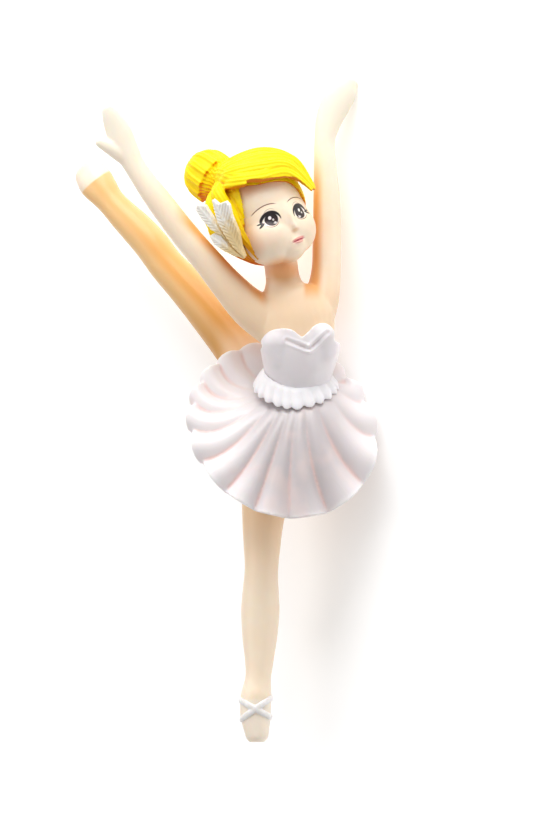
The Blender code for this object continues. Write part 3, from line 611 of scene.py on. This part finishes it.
def skirt_sheet(around, down, longest=1.0, move=0.0):
    """The skirt's outer face as an open sheet that is closed across the waist.

    longest is where it ends, 1 being the hem. move is how far it is moved outwards.
    """
    bm = bmesh.new()
    bmesh.ops.create_grid(bm, x_segments=around, y_segments=down, size=1)
    for v in bm.verts:
        share, reach = (v.co.x + 1) / 2, longest * (v.co.y + 1) / 2
        v.co = skirt_point(share, reach) + skirt_outward(share, reach) * move
    bmesh.ops.remove_doubles(bm, verts=bm.verts, dist=0.001)
    waist = [edge for edge in bm.edges if edge.is_boundary
             and all((v.co - WAIST_PLACE).length < WAIST_REACH for v in edge.verts)]
    bmesh.ops.edgeloop_fill(bm, edges=waist)
    bm.faces.ensure_lookup_table()
    lid = max(bm.faces, key=lambda face: len(face.verts))
    bmesh.ops.poke(bm, faces=[lid])
    bmesh.ops.recalc_face_normals(bm, faces=bm.faces)
    nearest = min(bm.faces, key=lambda face: (face.calc_center_median() - WAIST_PLACE).length)
    if nearest.normal.dot(TORSO_AXIS) < 0:
        bmesh.ops.reverse_faces(bm, faces=bm.faces)
    return bm


def over_hips():
    """The room over the skirt's inner face, which the hips and the lifted leg keep out of."""
    bm = skirt_sheet(len(FOLDS) * 4, 6, ROOM_OVERRUN, -(SKIRT_WALL + FIT_GAP))
    made = bmesh.ops.extrude_face_region(bm, geom=bm.faces[:], use_keep_orig=True)["geom"]
    lifted = [v for v in made if isinstance(v, bmesh.types.BMVert)]
    bmesh.ops.translate(bm, verts=lifted, vec=TORSO_AXIS * ROOM_HEIGHT)
    room = new_piece("over_hips", bm)
    room.hide_render = True
    return room


bm = bmesh.new()
for rows in (PELVIS, STANDING_LEG, LIFTED_LEG):
    add_limb(bm, rows)
legs = moulded("legs", bm, 0.3, 8)
room = over_hips()
trim = legs.modifiers.new("trim", "BOOLEAN")
trim.object = room
shaped(legs)
bpy.data.objects.remove(room)
bm = bmesh.new()
bm.from_mesh(legs.data)
bmesh.ops.bisect_plane(bm, geom=bm.verts[:] + bm.edges[:] + bm.faces[:], plane_co=(0, 0, TOE_HEIGHT),
                       plane_no=(0, 0, -1), clear_outer=True)
bmesh.ops.edgeloop_fill(bm, edges=[edge for edge in bm.edges if edge.is_boundary])
bm.to_mesh(legs.data)
bm.free()
legs.data.shade_smooth()
keep_number(legs, "hollow", hollowness(legs, 30, 0.5))

paint, base, x, y, z = flesh("flesh_legs")
lifted = paint.soft(y, 9, 14)
across = (x - LIFTED_KNEE[0]) * KNEE_SLOPE[0] + (z - LIFTED_KNEE[1]) * KNEE_SLOPE[1]
shade_stripe = paint.soft(across, -2.0, 0.4) * (1 - paint.soft(across, 1.4, 3.4))
shade_stripe = shade_stripe * (1 - paint.soft(z, 84, 96) * 0.6)
# Painted shade: the lifted leg behind darker and deeper gold, most of all near the hips and along a stripe.
base = paint.over(base, colour(242, 194, 122), lifted * 0.85)
base = paint.over(base, colour(208, 140, 40), lifted * (1 - paint.soft(z, 66, 88)) * 0.85)
base = paint.over(base, colour(222, 152, 50), lifted * shade_stripe * 0.7)
# Painted shade on the standing thigh under the skirt.
base = paint.over(base, colour(244, 192, 128), paint.soft(z, 24, 46) * (1 - lifted) * 0.6)
# The slippers lie below the standing foot's ankle and beyond a slanting line on the lifted foot.
toe = paint.larger(1 - paint.soft(z, 7.4, 8.0), paint.soft(z - x * 0.8 + y * 0.2, 130.4, 131.0))
base = paint.over(base, colour(254, 238, 220), toe * 0.85)
legs_finish = paint.finish(base, paint.noise(5.0), 0.25, 0.00002)
put_in_place(lay_down(legs), "legs", legs_finish)


# Slipper ribbons: two white bands crossed over the instep, moulded proud of the foot and painted.
# Each ribbon: its height up the foot, and how far it rises to one side.
RIBBONS = ((6.0, -1.5), (6.0, 1.9))
RIBBON_WIDTH = 0.62
RIBBON_PROUD = 0.42
RIBBON_SUNK = 0.12
RIBBON_STEPS = 96
foot = smooth_rows(STANDING_LEG, 24)
bm = bmesh.new()
for height, rise in RIBBONS:
    places = []
    for step in range(RIBBON_STEPS):
        angle = 2 * math.pi * step / RIBBON_STEPS
        level = height + rise * math.cos(angle)
        row = min(foot, key=lambda row: abs(row[2] - level))
        places.append(Vector((row[0] + (row[3] - RIBBON_SUNK) * math.cos(angle),
                              row[1] + (row[4] - RIBBON_SUNK) * math.sin(angle), level)))
    sections = []
    for i, place in enumerate(places):
        along = (places[(i + 1) % len(places)] - places[i - 1]).normalized()
        out = along.cross(Vector((0, 0, 1))).normalized()
        sections.append(add_section(bm, place, out, along.cross(out), RIBBON_PROUD, RIBBON_WIDTH, 14))
    for first, second in zip(sections, sections[1:] + sections[:1]):
        bmesh.ops.bridge_loops(bm, edges=first + second)
ribbons = moulded("slipper_ribbons", bm, 0.12, 4)
paint = Paint("ribbon_white", 0.38, coat=0.15, glow=0.1)
paint.place()
base = paint.over(colour(240, 234, 230), colour(252, 248, 246), paint.soft(paint.noise(0.9), 0.4, 0.7))
ribbon_finish = paint.finish(base, paint.noise(3.0), 0.2, 0.00003)
put_in_place(lay_down(ribbons), "legs", ribbon_finish)


# Skirt: a short pleated tutu, one thick-walled moulding in white PVC, closed across the waist.
# It is threaded up over the legs and glued between the hips and the bodice; painted pink shade sits in its
# folds, painted grey shade over its middle and painted highlights on its ridges.
bm = skirt_sheet(len(FOLDS) * 16, 56)
tutu = new_piece("tutu", bm)
wall = tutu.modifiers.new("wall", "SOLIDIFY")
wall.thickness = SKIRT_WALL
wall.offset = -1
remeshed(tutu, "round_hem", 0.25, 5)
shaped(tutu)
keep_number(tutu, "hollow", hollowness(tutu, 40, 0.35))

paint = Paint("tutu_white", 0.36, coat=0.12, glow=0.12)
x, y, z = paint.place()
# Painted pink shade in the folds.
fold = paint.soft(paint.number("hollow"), 0.05, 0.8)
# Painted grey shade over the middle of the skirt, which faces the viewer.
middle_shade = paint.spot_mask(x, z, (7.5, 53.0), (9.0, 13.0), 0, 0.6)
base = paint.over(colour(240, 233, 234), colour(193, 185, 186), middle_shade)
base = paint.over(base, colour(234, 198, 190), fold * 0.8)
# Painted highlights on the ridges, weaker over the middle.
base = paint.over(base, colour(252, 248, 249),
                  paint.soft(0 - paint.number("hollow"), 0.1, 0.8) * (0.8 - middle_shade * 0.5))
base = paint.over(base, colour(240, 214, 206), paint.soft(paint.noise(0.16), 0.48, 0.72) * 0.3)
tutu_finish = paint.finish(base, paint.noise(3.0), 0.2, 0.00003)
put_in_place(lay_down(tutu), "skirt", tutu_finish)


# Bodice: the strapless white top with a sweetheart neckline, glued over the chest.
# A carved pair of strokes marks the cleft.
BODICE = [
    (7.4, 1.8, 61.0, 4.0, 3.0), (7.6, 0.6, 64.4, 4.4, 3.4), (7.6, -0.8, 68.0, 5.5, 4.2),
    (7.7, -1.7, 71.6, 6.3, 4.6), (7.4, -1.9, 74.4, 6.8, 4.5), (7.0, -1.9, 77.0, 6.4, 4.2),
]
BODICE_COVER = 1.1
CUPS = ((4.1, 71.4), (11.3, 72.6))
NECKLINE = [
    (-9.0, 70.4), (0.2, 70.6), (0.7, 72.2), (2.1, 73.8), (4.2, 74.4), (6.2, 74.2), (7.6, 73.2), (8.2, 72.9),
    (9.2, 73.8), (10.6, 75.1), (12.4, 75.3), (13.9, 74.0), (14.7, 71.8), (24.0, 71.2),
]
# Carved strokes: start and end as x, z.
STROKES = [((5.4, 72.2), (9.0, 70.8)), ((12.6, 73.6), (9.6, 70.8))]
STROKE_DEPTH = 0.30
STROKE_WIDTH = 0.30
# A low bank runs along both sides of a stroke.
BANK_HEIGHT = 0.16
BANK_AWAY = 0.62
BANK_WIDTH = 0.28

bm = bmesh.new()
add_limb(bm, [(x, y, z, w + BODICE_COVER, d + BODICE_COVER) for x, y, z, w, d in BODICE])
for x, z in CUPS:
    add_limb(bm, [(x + 0.3, -3.6, z - 2.2, 3.0, 2.6), (x, -4.0, z + 0.8, 3.6, 3.4)], per_span=4)
bodice = new_piece("bodice", bm)
remeshed(bodice, "run_together", 0.3, 14)
# All that lies over the neckline is cut away, from 20 mm before the body to 20 mm behind it.
bm = bmesh.new()
outline = [(row[0], -20, row[1]) for row in smooth_rows(NECKLINE, 6)]
pushed_through(bm, [*outline, (24, -20, 90), (-9, -20, 90)], (0, 40, 0))
above = new_piece("above_neckline", bm)
above.hide_render = True
cut = bodice.modifiers.new("neckline", "BOOLEAN")
cut.object = above
remeshed(bodice, "round_edge", 0.2, 4)
shaped(bodice)
bpy.data.objects.remove(above)
points, normals = points_of(bodice), normals_of(bodice)
carved = np.zeros(len(points))
for start, end in STROKES:
    start, end = np.array(start), np.array(end)
    run = end - start
    flat = points[:, [0, 2]] - start
    t = np.clip(flat @ run / (run @ run), 0, 1)
    away = np.linalg.norm(flat - t[:, None] * run, axis=1)
    groove = STROKE_DEPTH * np.exp(-(away / STROKE_WIDTH) ** 2)
    bank = BANK_HEIGHT * np.exp(-((away - BANK_AWAY) / BANK_WIDTH) ** 2)
    carved += (groove - bank) * (0.5 + 0.5 * t)
carved *= normals[:, 1] < -0.2
move_points(bodice, points - normals * carved[:, None])
keep_number(bodice, "hollow", hollowness(bodice, 30, 0.3))

paint = Paint("bodice_white", 0.34, coat=0.15, glow=0.12)
paint.place()
# Painted shade: lilac-grey in the bodice's hollows.
base = paint.over(colour(240, 233, 235), colour(216, 200, 200),
                  paint.soft(paint.number("hollow"), 0.1, 0.9) * 0.8)
base = paint.over(base, colour(252, 249, 250), paint.soft(paint.noise(0.2), 0.45, 0.7) * 0.5)
bodice_finish = paint.finish(base, paint.noise(3.0), 0.2, 0.00003)
put_in_place(lay_down(bodice), "bodice", bodice_finish)


# Waist frill: a gathered ruffle round the bottom of the bodice, moulded with it.
FRILL_PLEATS = 22
# Height over the waist plane and the two radii, from the gathered top to the loose lower edge.
FRILL_SECTION = [(3.6, 5.0, 4.0), (3.0, 5.8, 4.8), (2.2, 6.4, 5.5), (1.4, 6.9, 6.2), (0.7, 7.0, 6.5)]
FRILL_RISE = (2.2, 1.6)
FRILL_WALL = 0.8
bm = bmesh.new()
bmesh.ops.create_grid(bm, x_segments=FRILL_PLEATS * 14, y_segments=16, size=1)
section = smooth_rows(FRILL_SECTION, 8)
for v in bm.verts:
    angle = math.pi * (v.co.x + 1)
    reach = (v.co.y + 1) / 2
    height, half_width, half_depth = section[min(len(section) - 1, round(reach * (len(section) - 1)))]
    uneven = angle + 0.035 * math.sin(3 * angle) + 0.02 * math.sin(7 * angle + 1)
    wave = (2 * abs(math.sin(FRILL_PLEATS * uneven / 2)) - 1.2) * (0.05 + 0.42 * reach)
    rise = (FRILL_RISE[0] * max(0.0, -math.cos(angle)) ** 1.5
            + FRILL_RISE[1] * max(0.0, math.sin(angle)) ** 2)
    v.co = (WAIST_PLACE + WAIST_SIDE * (half_width + wave) * math.cos(angle)
            + WAIST_BACK * (half_depth + wave) * math.sin(angle)
            + TORSO_AXIS * (height + rise - 0.6 * wave))
bmesh.ops.remove_doubles(bm, verts=bm.verts, dist=0.001)
frill = new_piece("waist_frill", bm)
wall = frill.modifiers.new("wall", "SOLIDIFY")
wall.thickness = FRILL_WALL
wall.offset = 0
remeshed(frill, "round_edge", 0.16, 4)
shaped(frill)
keep_number(frill, "hollow", hollowness(frill, 30, 0.2))
paint = Paint("frill_white", 0.36, coat=0.12, glow=0.12)
paint.place()
# Painted shade: grey-pink in the frill's hollows.
base = paint.over(colour(246, 241, 243), colour(214, 196, 196),
                  paint.soft(paint.number("hollow"), 0.05, 0.8) * 0.8)
frill_finish = paint.finish(base, paint.noise(3.0), 0.2, 0.00003)
put_in_place(lay_down(frill), "bodice", frill_finish)


# Hair: an up-do of broad locks drawn back into a bun, one cap glued over the skull.
# It is painted yellow, with orange painted shade in the grooves, low on the head and under the fringe and the
# locks.
HAIR_MIDDLE = Vector((0, 0.4, -1.0))
HAIR_COVER = 0.8
LOCK_HEIGHT = 1.0
NAPE = (0, 1.6, -4.0)
NAPE_RADIUS = 7.2
BUN_PLACE = Vector((-8.0, 4.5, 101.9))
BUN_RADIUS = 4.5
# Each lock runs from the bun over the skull through these places in the head's own axes, with its half width.
LOCKS = [
    ((-6.3, -5.5, 4.2), (-2.3, -8.6, 2.4), (2.8, -8.9, 1.5), (6.5, -8.2, -3.0), 1.5),
    ((-5.5, -4.4, 6.0), (-1.0, -7.9, 4.6), (4.0, -8.6, 2.9), (7.6, -7.4, -2.8), 1.6),
    ((-4.8, -2.5, 7.1), (0.9, -6.5, 6.4), (6.2, -7.3, 3.8), (8.3, -6.4, -2.2), 1.6),
    ((-3.6, -0.4, 8.0), (2.3, -4.0, 7.9), (7.3, -5.0, 4.7), (8.8, -5.0, -1.2), 1.6),
    ((-2.4, 1.9, 7.8), (3.4, -0.2, 7.8), (7.8, -1.2, 4.4), (8.9, 0.0, -1.4), 1.6),
    ((-1.1, 4.4, 7.0), (4.5, 2.9, 6.5), (7.9, 2.1, 3.0), (8.2, 2.3, -4.3), 1.6),
    ((0.2, 6.5, 5.5), (5.2, 5.5, 4.0), (7.3, 4.8, -0.5), (6.3, 4.4, -6.7), 1.6),
    ((1.1, 8.0, 3.4), (4.4, 7.6, 0.6), (4.8, 6.9, -3.8), (3.4, 5.9, -8.0), 1.6),
    ((0.0, 8.9, 0.6), (1.3, 8.4, -2.9), (1.1, 7.6, -5.7), (0.4, 6.5, -8.4), 1.6),
    ((-7.8, -2.1, 4.4), (-8.3, -3.4, 0.0), (-8.0, -3.2, -5.2), (-6.1, -2.3, -10.5), 1.4),
    ((-8.4, 0.8, 3.2), (-8.9, -0.8, -1.3), (-8.2, -0.6, -6.1), (-6.1, -0.4, -9.9), 1.5),
    ((-8.4, 3.2, 1.3), (-8.6, 2.1, -2.9), (-7.6, 1.9, -6.3), (-5.5, 1.9, -9.2), 1.5),
    ((-7.1, 5.7, 0.0), (-6.9, 5.2, -3.8), (-5.7, 4.6, -6.5), (-4.0, 4.2, -8.8), 1.6),
    ((-4.4, 7.8, -0.4), (-3.6, 7.6, -4.0), (-2.9, 6.9, -6.3), (-1.9, 5.9, -8.6), 1.6),
]
# The hair is cut away before the face, inside this outline of x and z, as far back as FACE_OPENING_BACK.
FACE_OPENING = [
    (-5.8, -16.0), (-6.4, -10.9), (-7.1, -7.6), (-6.9, -5.0), (-6.3, -1.0), (-5.3, 2.5), (-4.1, 2.5),
    (-2.6, 1.8), (0.1, 1.2), (3.2, 0.3), (5.0, -1.2), (6.6, -3.8), (7.9, -4.8), (8.0, -7.0), (7.2, -10.0),
    (6.6, -16.0),
]
FACE_OPENING_BACK = -1.6
BUN_LOCKS = 6
BUN_LOCK_WIDTH = 1.0
BUN_LOCK_SHARE = 0.75
BUN_LOCK_ANGLES = (-105, -60, -20, 20, 60, 105)
COMB_PITCH = 0.75
COMB_DEPTH = 0.13
COMB_REACH = 2.6
bun = HEAD.inverted() @ BUN_PLACE
cap = FACE_BALLS[0][3] + HAIR_COVER
lying = cap + 0.3 * LOCK_HEIGHT
strands = []


def add_lock(bm, centre, places, half_width, thickness):
    """A lens-shaped lock laid over a ball, tapering to its end. Its run is kept for the combed grooves."""
    rows = smooth_rows(places, 12)
    sections = []
    for i, place in enumerate(rows):
        along = (rows[min(i + 1, len(rows) - 1)] - rows[max(i - 1, 0)]).normalized()
        out = (place - centre).normalized()
        side = along.cross(out).normalized()
        share = 1 - 0.6 * (i / (len(rows) - 1)) ** 3
        sections.append(add_section(bm, place, side, out, half_width * share, thickness * share, 16))
        strands.append((place + out * thickness * share, side))
    join_sections(bm, sections)


bm = bmesh.new()
add_ball(bm, HAIR_MIDDLE, cap)
add_ball(bm, NAPE, NAPE_RADIUS)
add_ball(bm, bun, BUN_RADIUS)
outward = (bun - HAIR_MIDDLE).normalized()
for *places, half_width in LOCKS:
    over_skull = [HAIR_MIDDLE + outward * lying]
    for place in places:
        away = Vector(place) - HAIR_MIDDLE
        over_skull.append(HAIR_MIDDLE + away.normalized() * max(lying, away.length))
    add_lock(bm, HAIR_MIDDLE, over_skull, half_width, LOCK_HEIGHT)
across = outward.cross(Vector((0, 0, 1))).normalized()
for i in range(BUN_LOCKS):
    hinge = Matrix.Rotation(math.pi * i / BUN_LOCKS, 3, outward) @ across
    over_bun = [bun + (Matrix.Rotation(math.radians(a), 3, hinge) @ outward) * BUN_RADIUS
                for a in BUN_LOCK_ANGLES]
    add_lock(bm, bun, over_bun, BUN_LOCK_WIDTH, BUN_LOCK_SHARE * LOCK_HEIGHT)
hair = new_piece("hair", bm)
remeshed(hair, "run_together", 0.25, 2)
bm = bmesh.new()
outline = [(row[0], -20, row[1]) for row in smooth_rows(FACE_OPENING, 5)]
pushed_through(bm, outline, (0, FACE_OPENING_BACK + 20, 0))
opening = new_piece("face_opening", bm)
opening.hide_render = True
cut = hair.modifiers.new("face_opening", "BOOLEAN")
cut.object = opening
remeshed(hair, "round_edge", 0.2, 2)
shaped(hair)
bpy.data.objects.remove(opening)

tree = KDTree(len(strands))
for k, (place, side) in enumerate(strands):
    tree.insert(place, k)
tree.balance()
points, normals = points_of(hair), normals_of(hair)
combed = np.zeros(len(points))
for i, point in enumerate(points):
    place, k, distance = tree.find(Vector(point))
    across = (Vector(point) - place).dot(strands[k][1])
    if distance < COMB_REACH:
        combed[i] = -COMB_DEPTH * (0.5 + 0.5 * math.cos(across * 2 * math.pi / COMB_PITCH))
move_points(hair, points + normals * combed[:, None])
keep_number(hair, "hollow", hollowness(hair, 14, 0.22))
keep_number(hair, "deep", hollowness(hair, 60, 0.7))
keep_number(hair, "under", -normals_of(hair)[:, 2])
hair.data.transform(HEAD)

paint = Paint("hair_yellow", 0.5, coat=0.04, glow=0.02)
paint.shader.inputs["Specular IOR Level"].default_value = 0.25
x, y, z = paint.place(HEAD.inverted())
# Painted shade: orange in the grooves, the deep hollows, low on the head and on faces turned downwards.
groove = paint.soft(paint.number("hollow"), 0.05, 0.9)
deep = paint.soft(paint.number("deep"), 0.1, 0.8)
low = 1 - paint.soft(z, -9.5, 0.0)
base = paint.over(colour(253, 226, 2), colour(236, 166, 2), groove * 0.85)
base = paint.over(base, colour(212, 124, 6), deep * 0.75)
base = paint.over(base, colour(226, 140, 2), low * 0.75)
base = paint.over(base, colour(218, 98, 0), paint.soft(paint.number("under"), 0.3, 0.75) * 0.85)
hair_finish = paint.finish(base, paint.noise(2.0), 0.2, 0.00003)
put_in_place(lay_down(hair), "hair", hair_finish)


# Hair ornament: a spray of three stiff feathers, white towards their tips and pale gold below.
# They are glued by their quills to the side of the hair.
# Each feather's outline as the viewer sees it, x and z, from its quill.
FEATHERS = [
    [(-2.2, 87.1), (-4.1, 88.6), (-5.9, 91.1), (-7.1, 93.4), (-7.8, 95.8), (-8.0, 97.5), (-7.0, 96.6),
     (-5.7, 97.1), (-5.1, 96.4), (-4.7, 94.6), (-3.4, 91.6), (-2.9, 89.0)],
    [(-3.6, 88.6), (-6.3, 91.0), (-8.2, 92.0), (-9.8, 93.7), (-11.1, 95.8), (-10.7, 96.5), (-9.4, 96.4),
     (-8.7, 95.3), (-7.2, 92.9), (-5.6, 90.4)],
    [(-2.2, 86.9), (-3.9, 87.3), (-5.9, 88.2), (-7.8, 89.5), (-8.5, 91.0), (-7.9, 91.4), (-6.6, 91.0),
     (-4.9, 89.1), (-2.9, 87.5)],
]
FEATHER_FACING = Vector((-0.60, -0.72, -0.34)).normalized()
FEATHER_STANDOFF = 11.1
FEATHER_WALL = 0.8
FEATHER_STEP = 0.2
BARB_PITCH = 0.8
BARB_HEIGHT = 0.07
RIB_HEIGHT = 0.16
RIB_WIDTH = 0.22
QUILL = Vector((-2.2, 86.9))


def on_feather_plane(x, z, standoff):
    """The point of the feathers' plane that the viewer sees at x, z."""
    y = standoff - (x - HEAD_PLACE.x) * FEATHER_FACING.x - (z - HEAD_PLACE.z) * FEATHER_FACING.z
    return Vector((x, HEAD_PLACE.y + y / FEATHER_FACING.y, z))


for number, outline in enumerate(FEATHERS):
    standoff = FEATHER_STANDOFF - FEATHER_STEP * number
    bm = bmesh.new()
    pushed_through(bm, [on_feather_plane(x, z, standoff) for x, z in outline], -FEATHER_FACING * FEATHER_WALL)
    feather = moulded(f"feather_{number + 1}", bm, 0.12, 3)
    points, normals = points_of(feather), normals_of(feather)
    tip = Vector(max(outline, key=lambda place: (Vector(place) - QUILL).length))
    rib = np.array((tip - QUILL).normalized())
    flat = points[:, [0, 2]] - np.array(QUILL)
    along, aside = flat @ rib, flat @ np.array((-rib[1], rib[0]))
    slanted = along - np.abs(aside) * 1.3
    barbs = BARB_HEIGHT * np.sin(slanted * 2 * math.pi / BARB_PITCH) * np.clip(np.abs(aside) * 2, 0, 1)
    raised_rib = RIB_HEIGHT * np.exp(-(aside / RIB_WIDTH) ** 2)
    facing = normals @ np.array(FEATHER_FACING) > 0.5
    move_points(feather, points + normals * ((barbs + raised_rib) * facing)[:, None])
    keep_number(feather, "hollow", hollowness(feather, 12, 0.15))
    keep_number(feather, "along", along / along.max())
    paint = Paint(f"feather_gilt_{number + 1}", 0.34, coat=0.2, glow=0.05)
    paint.place()
    base = paint.over(colour(234, 206, 150), colour(252, 248, 240),
                      paint.soft(paint.number("along") + paint.noise(1.2) * 0.5, 0.65, 1.05))
    # Painted shade: darker gold in the feathers' hollows.
    base = paint.over(base, colour(196, 160, 96), paint.soft(paint.number("hollow"), 0.0, 0.8) * 0.6)
    feather_finish = paint.finish(base, paint.noise(3.0), 0.2, 0.00003)
    put_in_place(lay_down(feather), "hair_ornament", feather_finish)


# The studio: a white table seen from above, a soft light tent all round it, and the camera.
# The table glows a little, as a light table does, so that hardly a shadow is left on it.
TABLE_REACH = 6
TABLE_GLOW = 0.25
bm = bmesh.new()
bmesh.ops.create_grid(bm, x_segments=1, y_segments=1, size=TABLE_REACH)
table_top = new_piece("table_top", bm)
paint = Paint("white_table", 0.9)
paint.place()
paint.shader.inputs["Emission Color"].default_value = (1.0, 1.0, 1.0, 1.0)
paint.shader.inputs["Emission Strength"].default_value = TABLE_GLOW
base = paint.over(colour(250, 250, 250), colour(246, 246, 246), paint.noise(0.01))
table_top.data.materials.append(paint.finish(base))

VIEW_CENTRE = Vector((3.24, 0.0, 59.31))
VIEW_HEIGHT = 148.5
VIEW_DISTANCE = 2500
SENSOR_HEIGHT = 24
LIGHT_DISTANCE = 0.9
LIGHT_WIDTH = 0.7
SKY_STRENGTH = 0.52
POSE_TURN = (POSE.to_3x3() * (1 / MM)).to_4x4()


def light(name, direction, power):
    """A soft box that shines on the figurine from a direction given in the pose's axes."""
    lamp = bpy.data.lights.new(name, "AREA")
    lamp.shape = "DISK"
    lamp.size = LIGHT_WIDTH
    lamp.energy = power
    obj = bpy.data.objects.new(name, lamp)
    bpy.context.scene.collection.objects.link(obj)
    away = (POSE_TURN @ Vector(direction)).normalized()
    obj.matrix_world = (Matrix.Translation(POSE @ VIEW_CENTRE + away * LIGHT_DISTANCE)
                        @ away.to_track_quat("Z", "Y").to_matrix().to_4x4())


light("top_light", (-0.15, -0.40, 1.0), 7.0)
light("left_light", (-1.0, -0.35, 0.25), 2.0)
light("right_light", (1.0, -0.35, 0.15), 2.0)
sky = bpy.data.worlds.new("light_tent")
sky.use_nodes = True
background = sky.node_tree.nodes["Background"]
background.inputs["Color"].default_value = (1.0, 1.0, 1.0, 1.0)
background.inputs["Strength"].default_value = SKY_STRENGTH
bpy.context.scene.world = sky

lens = bpy.data.cameras.new("camera")
lens.sensor_fit = "VERTICAL"
lens.sensor_height = SENSOR_HEIGHT
lens.lens = SENSOR_HEIGHT * VIEW_DISTANCE / VIEW_HEIGHT
lens.clip_end = 20
camera = bpy.data.objects.new("camera", lens)
bpy.context.scene.collection.objects.link(camera)
eye = POSE @ (VIEW_CENTRE - Vector((0, VIEW_DISTANCE, 0)))
camera.matrix_world = Matrix.Translation(eye) @ POSE_TURN @ Matrix.Rotation(math.radians(90), 4, "X")
bpy.context.scene.camera = camera
bpy.context.scene.view_settings.view_transform = "Standard"
